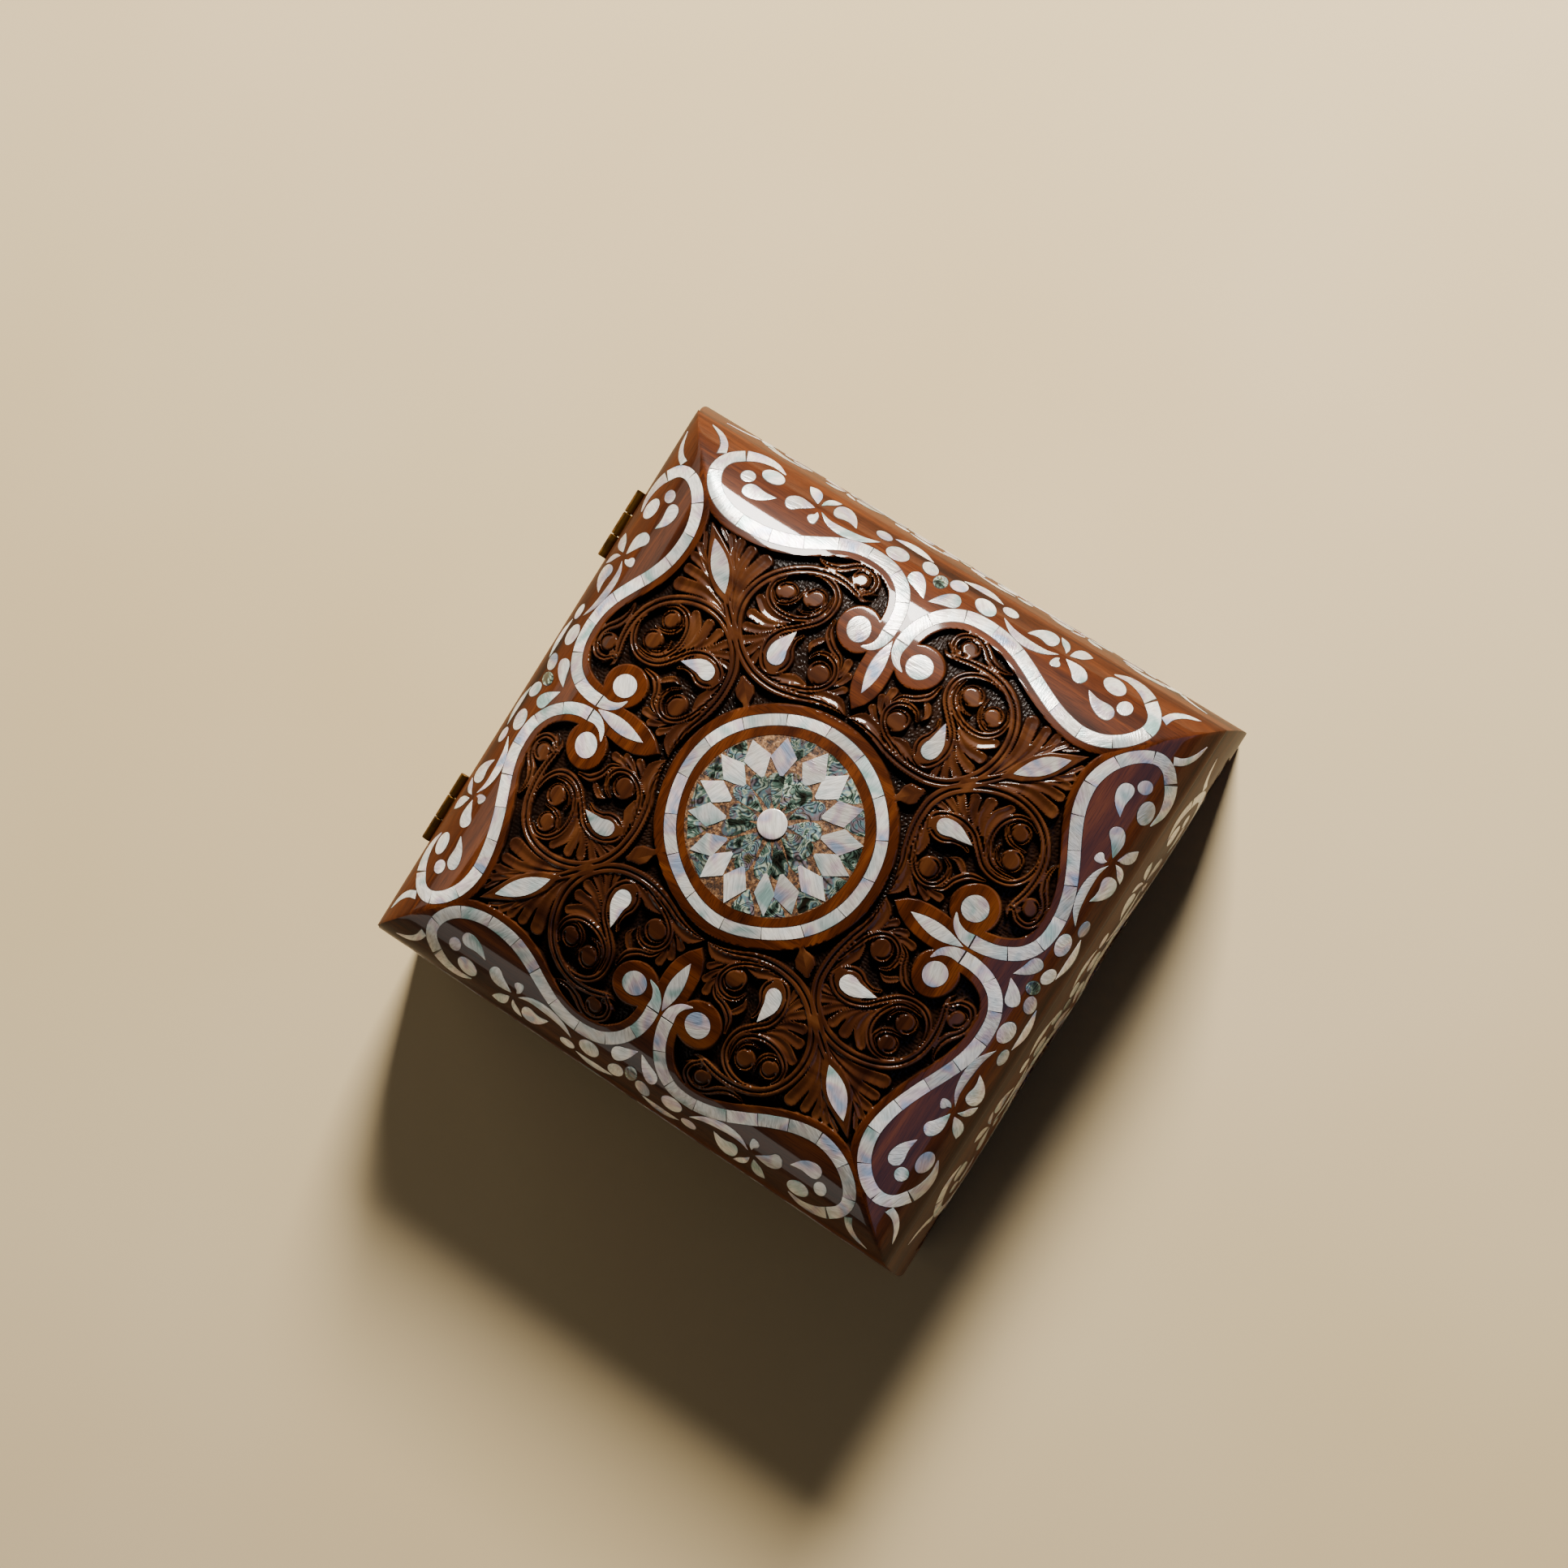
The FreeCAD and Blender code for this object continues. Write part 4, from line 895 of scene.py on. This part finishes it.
def abalone():
    """Abalone: dark green, blue and rose swirls, glossy."""
    material, tree = new_material("abalone")
    where = add(tree, "ShaderNodeTexCoord").outputs["Object"]
    lay = add(tree, "ShaderNodeAttribute", {"attribute_name": "lay"}).outputs["Fac"]
    # patches of colour about 5 mm across, crossed by dark growth lines that curl round
    hue = add(tree, "ShaderNodeTexNoise", {"noise_dimensions": "4D", "Scale": 190.0,
                                           "Detail": 3.0, "Distortion": 0.8},
              {"Vector": where, "W": lay}).outputs[0]
    patch = ramp(tree, hue, [(0.28, "#30271d"), (0.38, "#333d33"), (0.45, "#68877a"),
                             (0.49, "#d3e0c9"), (0.53, "#6f9ba4"), (0.59, "#93828e"),
                             (0.66, "#6a6648"), (0.76, "#3f3224")])
    swirl = add(tree, "ShaderNodeTexNoise", {"noise_dimensions": "4D", "Scale": 90.0,
                                             "Detail": 1.0, "Distortion": 1.4},
                {"Vector": where, "W": lay}).outputs[0]
    waves = add(tree, "ShaderNodeMath", {"operation": "MULTIPLY", 1: 130.0}, {0: swirl})
    waves = add(tree, "ShaderNodeMath", {"operation": "SINE"}, {0: waves.outputs[0]})
    dim = add(tree, "ShaderNodeMapRange", {"To Min": 0.45, "To Max": 1.1}, {"Value": lay})
    line = add(tree, "ShaderNodeMapRange", {"From Min": -1.0, "From Max": 0.3,
                                            "To Min": 0.08},
               {"Value": waves.outputs[0], "To Max": dim.outputs[0]}).outputs[0]
    colour = add(tree, "ShaderNodeMix", {"data_type": "RGBA", "blend_type": "MULTIPLY",
                                         0: 1.0}, {6: patch, 7: line}).outputs[2]
    shader = add(tree, "ShaderNodeBsdfPrincipled",
                 {"Roughness": 0.2, "Metallic": 0.25, "IOR": 1.55, "Coat Weight": 0.7,
                  "Coat Roughness": 0.06}, {"Base Color": colour})
    add(tree, "ShaderNodeOutputMaterial", links={0: shader.outputs[0]})
    return material


dark_shell = abalone()
EYE = (0.0, 91.8, 4.5, 4.5)
eyes = [oval(*EYE)]
inlay("lid_flower_eyes_abalone", eyes, every, on_lid, "lid", ["lid_flower_eyes"],
      dark_shell, "abalone", 0.16)


# ---- The star, the ring and the button -----------------------------------------------------
# In the medallion: sixteen kites and splinters of abalone pressed into tan filler, sixteen
# curved tesserae round them, and a turned shell button, a little off the middle.


def crumbs():
    """Tan filler, rough and crumbly, that shows between the abalone splinters."""
    material, tree = new_material("crumbled filler")
    where = add(tree, "ShaderNodeTexCoord").outputs["Object"]
    noise = add(tree, "ShaderNodeTexNoise", {"Scale": 700.0, "Detail": 4.0,
                                             "Roughness": 0.7}, {"Vector": where}).outputs[0]
    colour = ramp(tree, noise, [(0.40, "#24130a"), (0.52, "#664324"), (0.66, "#a37c54")])
    bump = add(tree, "ShaderNodeBump", {"Strength": 0.8, "Distance": 0.0005},
               {"Height": noise})
    shader = add(tree, "ShaderNodeBsdfPrincipled", {"Roughness": 0.6},
                 {"Base Color": colour, "Normal": bump.outputs[0]})
    add(tree, "ShaderNodeOutputMaterial", links={0: shader.outputs[0]})
    return material


def kites():
    """Sixteen kites round the middle, cut by eye, so never two quite alike."""
    parts = []
    for k in range(16):
        a = k * math.pi / 8 + rng.normal(0.0, 0.02)
        tip, waist, tail = np.array([27.5, 20.9, 15.0]) + rng.normal(0.0, 0.3, 3)
        wide = 4.0 + rng.normal(0.0, 0.22)
        stations = np.array([tip, (tip + waist) / 2, waist, (waist + tail) / 2, tail])
        halves = wide * np.array([0.01, 0.5, 1.0, 0.58, 0.12])
        path = stations[:, None] * np.array([math.sin(a), math.cos(a)])
        parts.append(outline(path, halves))
    return parts


def abalone_cuts():
    """Petals round the button and splinters between the kites' tips."""
    parts = []
    for k in range(15):
        a = k * math.tau / 15 + rng.normal(0.0, 0.05)
        reach = 16.5 + rng.normal(0.0, 1.0)
        bend = rng.normal(0.0, 0.05)
        knots = [(4.4 * math.sin(a), 4.4 * math.cos(a)),
                 (10.0 * math.sin(a + bend), 10.0 * math.cos(a + bend)),
                 (reach * math.sin(a), reach * math.cos(a))]
        parts.append(cut_piece(knots, 2.8, "tear"))
    for k in range(16):
        if k in (5, 11):
            continue
        a = (k + 0.5) * math.pi / 8 + rng.normal(0.0, 0.02)
        stations = np.array([20.6, 23.0, 25.5, 27.6])
        path = stations[:, None] * np.array([math.sin(a), math.cos(a)])
        parts.append(outline(path, np.array([0.3, 1.9, 3.4, 3.9])))
    return parts


RING = 33.15  # radius of the ring's middle line


def ring_cuts(grow=0.0):
    """The ring's sixteen tesserae, sawn square across."""
    parts = []
    for k in range(16):
        gap = (0.12 - grow) / RING
        a = np.linspace(k * math.pi / 8 + gap, (k + 1) * math.pi / 8 - gap, 12) + 0.05
        path = RING * np.stack([np.sin(a), np.cos(a)], -1)
        parts.append(outline(path, np.full(12, 1.85 + grow)))
    return parts


inlay("star_kites_shell", kites(), [0], on_lid, "lid", ["star_kites"], shell, "pearl",
      0.14)
inlay("abalone_petals", abalone_cuts(), [0], on_lid, "lid", ["abalone_ground"],
      dark_shell, "abalone", 0.0)
inlay("ring_tesserae_shell", ring_cuts(), [0], on_lid, "lid", ["ring_tesserae"], shell,
      "pearl", loose=0.015)

radii = np.linspace(0.0, 28.05, 30)[:, None]
x, y = radii * np.cos(turns), radii * np.sin(turns)
verts, faces = slab(raised(x, y, -0.12), raised(x, y, -0.7), ring=True)
piece("crumbled_ground", verts, faces.tolist(), crumbs(), "lid", ["abalone_ground"],
      "abalone", 40.0)
radii = 4.7 * np.sin(np.linspace(0.0, math.pi / 2, 12))[:, None]
x, y = radii * np.cos(turns) + 0.4, radii * np.sin(turns) + 0.5
swell = 0.5 * np.sqrt(np.clip(1.0 - (radii / 4.72) ** 2, 0.0, None)) - 0.1
top = np.stack([x, y, np.full(x.shape, apex) + swell], -1)
verts, faces = slab(top, raised(x, y, -0.5), ring=True)
# the button's lay of 0.98 gives it nearly the brightest painted sheen of the shell
piece("pearl_button_domed", verts, faces.tolist(), shell, "lid", ["pearl_button"], "pearl",
      50.0, {"lay": np.full(len(verts), 0.98)})


# ---- The walls' smaller shell ----------------------------------------------------------
# Discs and cusp leaves like the lid's, and drops and almonds let into the carved field.
WALL_DROP = [(31.0, 31.5), (32.2, 28.5), (33.0, 25.0), (32.0, 19.5)]
wall_drop = mirrored([cut_piece(WALL_DROP, 2.16, "tear")])
wall_almond = mirrored([cut_piece(WALL_ALMOND, 2.4, "leaf")])
inlay("wall_discs_shell", discs, every, wall_plot, "box", ["wall_discs"], shell, "pearl")
inlay("wall_leaves_shell", cusps, every, wall_plot, "box", ["wall_leaves"], shell, "pearl")
inlay("wall_drops_shell", wall_drop, every, on_wall, "box", ["wall_drops"], shell, "pearl",
      top=0.0)
inlay("wall_almonds_shell", wall_almond, every, on_wall, "box", ["wall_almonds"], shell,
      "pearl", top=0.0)
inlay("wall_flower_eyes_abalone", eyes, every, wall_plot, "box", ["wall_flower_eyes"],
      dark_shell, "abalone", 0.16)


# ---- The mastic ---------------------------------------------------------------------------
# The beds under the shell, cut a little wider than it, show as dark hairlines round it.
beds = strip_beds + vine_beds + disc_beds
beds += [cut_piece(CUSP, 2.2, "leaf", 0.22), oval(*EYE, grow=0.22)]
lid_beds = beds + mirrored([cut_piece(DROP, 2.7, "tear", 0.22)])
inlay("lid_mastic", lid_beds, every, on_lid, "lid", [], filler, "walnut", 0.015, 0.55, 0.0)
inlay("medallion_mastic", ring_cuts(0.25), [0], on_lid, "lid", [], filler, "walnut",
      0.015, 0.55, 0.0)
inlay("wall_mastic", beds, every, wall_plot, "box", [], filler, "walnut", 0.015, 0.55, 0.0)


# ---- The hinges -------------------------------------------------------------------------
# Two brass butt hinges, tarnished brown, let into the seam at the back: a leaf screwed to
# the wall, a leaf screwed to the rail, three knuckles and a pin, and four slotted screws.


def brass():
    """Old brass: brown with a duller, darker bloom in patches."""
    material, tree = new_material("old brass")
    where = add(tree, "ShaderNodeTexCoord").outputs["Object"]
    noise = add(tree, "ShaderNodeTexNoise", {"Scale": 260.0, "Detail": 4.0},
                {"Vector": where}).outputs[0]
    colour = ramp(tree, noise, [(0.35, "#3f2a12"), (0.55, "#6e4c20"), (0.7, "#8a6430")])
    rough = add(tree, "ShaderNodeMapRange", {"From Min": 0.3, "From Max": 0.7,
                                             "To Min": 0.55, "To Max": 0.3},
                {"Value": noise}).outputs[0]
    shader = add(tree, "ShaderNodeBsdfPrincipled", {"Metallic": 1.0},
                 {"Base Color": colour, "Roughness": rough})
    add(tree, "ShaderNodeOutputMaterial", links={0: shader.outputs[0]})
    return material


def rounded(low, high, edge):
    """A box with its edges eased."""
    bm = bmesh.new()
    bmesh.ops.create_cube(bm, size=1.0)
    size = Vector(high) - Vector(low)
    for v in bm.verts:
        v.co = Vector([low[i] + (v.co[i] + 0.5) * size[i] for i in range(3)])
    bmesh.ops.bevel(bm, geom=bm.edges[:], offset=edge, segments=3, profile=0.5,
                    affect="EDGES")
    bm.verts.index_update()
    verts = [v.co[:] for v in bm.verts]
    faces = [[v.index for v in f.verts] for f in bm.faces]
    bm.free()
    return verts, faces


def tube(x0, x1, y, z, outer, inner, edge):
    """A knuckle or pin lying along x, its rims eased."""
    profile = np.array([(x0, inner), (x0, outer - edge), (x0 + edge, outer),
                        (x1 - edge, outer), (x1, outer - edge), (x1, inner)])
    a = np.linspace(0.0, math.tau, 29)[:-1]
    points = np.stack([np.repeat(profile[:, :1], 28, 1), y + profile[:, 1:] * np.cos(a),
                       z + profile[:, 1:] * np.sin(a)], -1)
    index = np.arange(points.shape[0] * 28).reshape(-1, 28)
    index = np.hstack([index, index[:, :1]])
    if inner:
        index = np.vstack([index, index[:1]])
    faces = np.stack([index[:-1, :-1], index[1:, :-1], index[1:, 1:], index[:-1, 1:]], -1)
    return points.reshape(-1, 3).tolist(), faces.reshape(-1, 4).tolist()


def together(parts):
    """Several meshes as one list of points and faces."""
    verts, faces = [], []
    for v, f in parts:
        faces += [[i + len(verts) for i in face] for face in f]
        verts += list(v)
    return verts, faces


AXIS_Y = 101.9  # the pin's axis, behind the box's middle
KNUCKLE = 1.7  # a knuckle's radius
LEAF_IN = 90.5  # a leaf's inner edge
HINGE_HALF = 12.5  # half a hinge's length
THIRD = 4.167  # a sixth of its length: half of one of the three knuckles
old_brass = brass()
for name, x in (("left", -55.0), ("right", 55.0)):
    outer_spans = ((x - HINGE_HALF, x - THIRD - 0.15), (x + THIRD + 0.15, x + HINGE_HALF))
    inner_spans = ((x - THIRD + 0.15, x + THIRD - 0.15),)
    for body, low, spans in (("box", seam - 1.0, outer_spans), ("lid", seam, inner_spans)):
        parts = [rounded((x - HINGE_HALF, LEAF_IN, low), (x + HINGE_HALF, 100.0, low + 1.0),
                         0.12)]
        for a, b in spans:
            parts.append(rounded((a, 99.2, low), (b, AXIS_Y, low + 1.0), 0.1))
            parts.append(tube(a, b, AXIS_Y, seam, KNUCKLE, 0.75, 0.2))
        piece(f"hinge_leaf_{body}_{name}_brass", *together(parts), old_brass, body,
              [f"hinge_leaf_{body}_{name}"], "hinge_brass")
    piece(f"hinge_pin_{name}_brass", *tube(x - 12.45, x + 12.45, AXIS_Y, seam, 0.7, 0.0, 0.15),
          old_brass, "box", [f"hinge_pin_{name}"], "hinge_brass")


def repeated(name, spots, verts, faces, material, spread, seed):
    """A small shape set on every spot by Geometry Nodes, each turned a little, as a mesh."""
    shape = bpy.data.meshes.new(name + " shape")
    shape.from_pydata((np.array(verts) * MM).tolist(), [], faces)
    template = bpy.data.objects.new(name + " template", shape)
    cloud = bpy.data.meshes.new(name + " spots")
    cloud.from_pydata((np.array(spots) * MM).tolist(), [], [])
    holder = bpy.data.objects.new(name + " holder", cloud)
    bpy.context.scene.collection.objects.link(template)
    bpy.context.scene.collection.objects.link(holder)
    tree = bpy.data.node_groups.new(name, "GeometryNodeTree")
    sockets = {}
    for label, kind in (("Geometry", "Geometry"), ("Shape", "Object"), ("Turn", "Float"),
                        ("Seed", "Int")):
        sockets[label] = tree.interface.new_socket(
            name=label, in_out="INPUT", socket_type="NodeSocket" + kind)
    tree.interface.new_socket(name="Geometry", in_out="OUTPUT",
                              socket_type="NodeSocketGeometry")
    given = add(tree, "NodeGroupInput").outputs
    info = add(tree, "GeometryNodeObjectInfo", links={0: given["Shape"]})
    less = add(tree, "ShaderNodeMath", {"operation": "MULTIPLY", 1: -1.0},
               {0: given["Turn"]})
    chance = add(tree, "FunctionNodeRandomValue", {"data_type": "FLOAT"},
                 {2: less.outputs[0], 3: given["Turn"], "Seed": given["Seed"]})
    angle = add(tree, "ShaderNodeCombineXYZ", links={2: chance.outputs[1]})
    placed = add(tree, "GeometryNodeInstanceOnPoints",
                 links={"Points": given["Geometry"], "Instance": info.outputs["Geometry"],
                        "Rotation": angle.outputs[0]})
    real = add(tree, "GeometryNodeRealizeInstances", links={0: placed.outputs[0]})
    painted = add(tree, "GeometryNodeSetMaterial", {"Material": material},
                  {0: real.outputs[0]})
    add(tree, "NodeGroupOutput", links={0: painted.outputs[0]})
    modifier = holder.modifiers.new("repeat", "NODES")
    modifier.node_group = tree
    modifier[sockets["Shape"].identifier] = template
    modifier[sockets["Turn"].identifier] = spread
    modifier[sockets["Seed"].identifier] = seed
    graph = bpy.context.evaluated_depsgraph_get()
    mesh = bpy.data.meshes.new_from_object(holder.evaluated_get(graph))
    points = np.empty(len(mesh.vertices) * 3)
    mesh.vertices.foreach_get("co", points)
    result = (points.reshape(-1, 3) / MM, [list(p.vertices) for p in mesh.polygons])
    for thing in (holder, template):
        bpy.data.objects.remove(thing)
    return result


def screw_shape(way):
    """A countersunk head with a straight slot, on a short shank; way is up or down."""
    radii = np.array([0.0, 0.35, 0.7, 1.0, 1.3, 1.6, 1.8, 1.9, 0.95, 0.95, 0.0])
    depths = np.array([0.0, 0.0, 0.0, 0.0, 0.0, 0.0, 0.02, 0.1, 1.0, 8.0, 8.0])
    a = np.linspace(0.0, math.tau, 33)[:-1]
    x, y = radii[:, None] * np.cos(a), radii[:, None] * np.sin(a)
    sunk = np.repeat(depths[:, None], 32, 1)
    sunk[:7] += 0.3 * (np.abs(y[:7]) < 0.24)
    points = np.stack([x, y, -way * sunk], -1)
    index = np.arange(points.shape[0] * 32).reshape(-1, 32)
    index = np.hstack([index, index[:, :1]])
    faces = np.stack([index[:-1, :-1], index[1:, :-1], index[1:, 1:], index[:-1, 1:]], -1)
    return points.reshape(-1, 3).tolist(), faces.reshape(-1, 4).tolist()


for body, way in (("box", 1), ("lid", -1)):
    spots = [(x + dx, 94.5, seam - way * 0.03) for x in (-55, 55) for dx in (-7.5, 7.5)]
    screws = repeated(f"screws in the {body}", spots, *screw_shape(way), old_brass, 1.2, 5)
    piece(f"hinge_screws_{body}_brass", *screws, old_brass, body, [f"hinge_screws_{body}"],
          "hinge_brass")


# ---- Bottom board, linings and feet ---------------------------------------------------
# The bottom is a plain walnut board. The inside is lined with thin boards wrapped in red
# velvet, pressed in: one on the floor, one on each wall and one in the lid. Four felt
# discs are glued under the corners.


def velvet():
    """Red velvet: deep and matt with a paler bloom at the edges, its nap brushed uneven."""
    material, tree = new_material("red velvet")
    where = add(tree, "ShaderNodeTexCoord").outputs["Object"]
    brushed = add(tree, "ShaderNodeTexNoise", {"Scale": 34.0, "Detail": 2.0,
                                               "Distortion": 0.3}, {"Vector": where})
    nap = add(tree, "ShaderNodeTexNoise", {"Scale": 2400.0, "Detail": 1.0},
              {"Vector": where}).outputs[0]
    colour = ramp(tree, brushed.outputs[0], [(0.3, "#4c060c"), (0.55, "#5e0910"),
                                             (0.72, "#701018")])
    bump = add(tree, "ShaderNodeBump", {"Strength": 0.5, "Distance": 0.0003},
               {"Height": nap})
    shader = add(tree, "ShaderNodeBsdfPrincipled",
                 {"Roughness": 0.95, "Specular IOR Level": 0.1, "Sheen Weight": 0.8,
                  "Sheen Roughness": 0.35, "Sheen Tint": linear("#d8606a")},
                 {"Base Color": colour, "Normal": bump.outputs[0]})
    add(tree, "ShaderNodeOutputMaterial", links={0: shader.outputs[0]})
    return material


def felt():
    """Dark green felt, matted and dull."""
    material, tree = new_material("felt")
    where = add(tree, "ShaderNodeTexCoord").outputs["Object"]
    noise = add(tree, "ShaderNodeTexNoise", {"Scale": 900.0, "Detail": 4.0},
                {"Vector": where}).outputs[0]
    colour = ramp(tree, noise, [(0.35, "#14201a"), (0.65, "#2a3d30")])
    bump = add(tree, "ShaderNodeBump", {"Strength": 0.6, "Distance": 0.0004},
               {"Height": noise})
    shader = add(tree, "ShaderNodeBsdfPrincipled", {"Roughness": 1.0, "Sheen Weight": 0.3},
                 {"Base Color": colour, "Normal": bump.outputs[0]})
    add(tree, "ShaderNodeOutputMaterial", links={0: shader.outputs[0]})
    return material


red_velvet = velvet()
floor_z = foot + 6.0
piece("bottom_board_walnut",
      *rounded((-inner_half, -inner_half, foot), (inner_half, inner_half, floor_z), 0.3),
      walnut_grain[0], "box", ["bottom_board"], "walnut")
piece("floor_lining_velvet", *rounded((-88, -88, floor_z), (88, 88, floor_z + 2.0), 0.8),
      red_velvet, "box", ["floor_lining"], "velvet")
piece("lid_lining_velvet",
      *rounded((-88, -88, seam + RAIL_LOW - 2.0), (88, 88, seam + RAIL_LOW), 0.8),
      red_velvet, "lid", ["lid_lining"], "velvet")
across = np.linspace(-1.0, 1.0, 41)
for turn, side in enumerate(SIDES):
    loop = []
    for out, z in ((90, floor_z), (88, floor_z), (88, seam - 2.9), (88.2, seam - 2.3),
                   (88.8, seam - 2.0), (90, seam - 2.0)):
        x, y = quarter(across * out, np.full(41, -float(out)), turn)
        loop.append(np.stack([x, y, np.full(41, z)], -1))
    piece(f"wall_lining_{side}_velvet", *bar(np.stack(loop)), red_velvet, "box",
          [f"wall_lining_{side}"], "velvet", 60.0)

radii = np.array([0.0, 6.7, 7.0, 7.0, 6.8, 0.0])[:, None]
heights = np.array([foot, foot, foot - 0.2, 0.25, 0.0, 0.0])[:, None]
a = np.linspace(0.0, math.tau, 41)[:-1]
points = np.stack([radii * np.cos(a), radii * np.sin(a), heights + 0 * a], -1)
index = np.arange(240).reshape(6, 40)
index = np.hstack([index, index[:, :1]])
pad = np.stack([index[:-1, :-1], index[1:, :-1], index[1:, 1:], index[:-1, 1:]], -1)
spots = [(96.0 * i, 96.0 * j, 0.0) for i in (-1, 1) for j in (-1, 1)]
green_felt = felt()
pads = repeated("felt pads", spots, points.reshape(-1, 3).tolist(),
                pad.reshape(-1, 4).tolist(), green_felt, 0.5, 3)
piece("felt_feet_pads", *pads, green_felt, "box", ["felt_feet"], "felt")


# ---- Camera, floor and light ---------------------------------------------------------
# A pale floor and soft daylight from the back right, seen from nearly straight above.


def pale_floor():
    """A matt pale floor with a barely seen mottle."""
    material, tree = new_material("pale floor")
    where = add(tree, "ShaderNodeTexCoord").outputs["Object"]
    noise = add(tree, "ShaderNodeTexNoise", {"Scale": 3.0, "Detail": 3.0},
                {"Vector": where}).outputs[0]
    colour = ramp(tree, noise, [(0.3, "#dac291"), (0.7, "#e3cea4")])
    shader = add(tree, "ShaderNodeBsdfPrincipled", {"Roughness": 0.7},
                 {"Base Color": colour})
    add(tree, "ShaderNodeOutputMaterial", links={0: shader.outputs[0]})
    return material


plane = bpy.data.meshes.new("floor")
plane.from_pydata([(-14, -14, 0), (14, -14, 0), (14, 14, 0), (-14, 14, 0)], [],
                  [(0, 1, 2, 3)])
plane.materials.append(pale_floor())
floor = bpy.data.objects.new("floor", plane)
bpy.context.scene.collection.objects.link(floor)

eye = Vector((0.0329, -0.0984, 0.7444))
aim = Vector((0.0124, 0.0053, 0.102))
camera = bpy.data.objects.new("camera", bpy.data.cameras.new("camera"))
camera.data.lens = 48.45
camera.data.sensor_width = 36.0
forward = (aim - eye).normalized()
right = Vector((0.5315, -0.8334, -0.1515))
right = (right - forward * right.dot(forward)).normalized()
turned = Matrix((right, right.cross(forward), -forward)).transposed()
camera.matrix_world = Matrix.Translation(eye) @ turned.to_4x4()
bpy.context.scene.collection.objects.link(camera)
bpy.context.scene.camera = camera


def area(name, spot, aim_at, size, watts, colour):
    """A soft rectangular lamp turned towards a point."""
    lamp = bpy.data.lights.new(name, "AREA")
    lamp.shape = "RECTANGLE"
    lamp.size, lamp.size_y = size
    lamp.energy = watts
    lamp.color = colour[:3]
    thing = bpy.data.objects.new(name, lamp)
    thing.location = spot
    thing.rotation_euler = (Vector(aim_at) - Vector(spot)).to_track_quat("-Z", "Y").to_euler()
    bpy.context.scene.collection.objects.link(thing)
    return thing


area("window", (1.35, 0.40, 1.00), (0, 0, 0.1), (0.42, 0.42), 84, linear("#fff8ee"))
area("left glow", (-1.7, 0.6, 0.40), (0, 0, 0.1), (1.5, 0.5), 5, linear("#f4ecdf"))
area("back glow", (0.3, 1.7, 0.45), (0, 0, 0.1), (1.6, 0.5), 6, linear("#f6e8d2"))
area("cool glow", (0.25, -1.7, 0.95), (0, 0, 0.1), (2.2, 1.1), 7,
     linear("#a3bcf6")).visible_diffuse = False
world = bpy.data.worlds.new("soft surround")
world.use_nodes = True
sky = world.node_tree
where = add(sky, "ShaderNodeTexCoord").outputs["Generated"]
height = add(sky, "ShaderNodeSeparateXYZ", links={0: where}).outputs[2]
shade = ramp(sky, height, [(0.0, "#b9b2a6"), (0.35, "#8f8a83"), (0.8, "#3f3c3a")])
sky.links.new(shade, sky.nodes["Background"].inputs[0])
sky.nodes["Background"].inputs[1].default_value = 0.24
bpy.context.scene.world = world
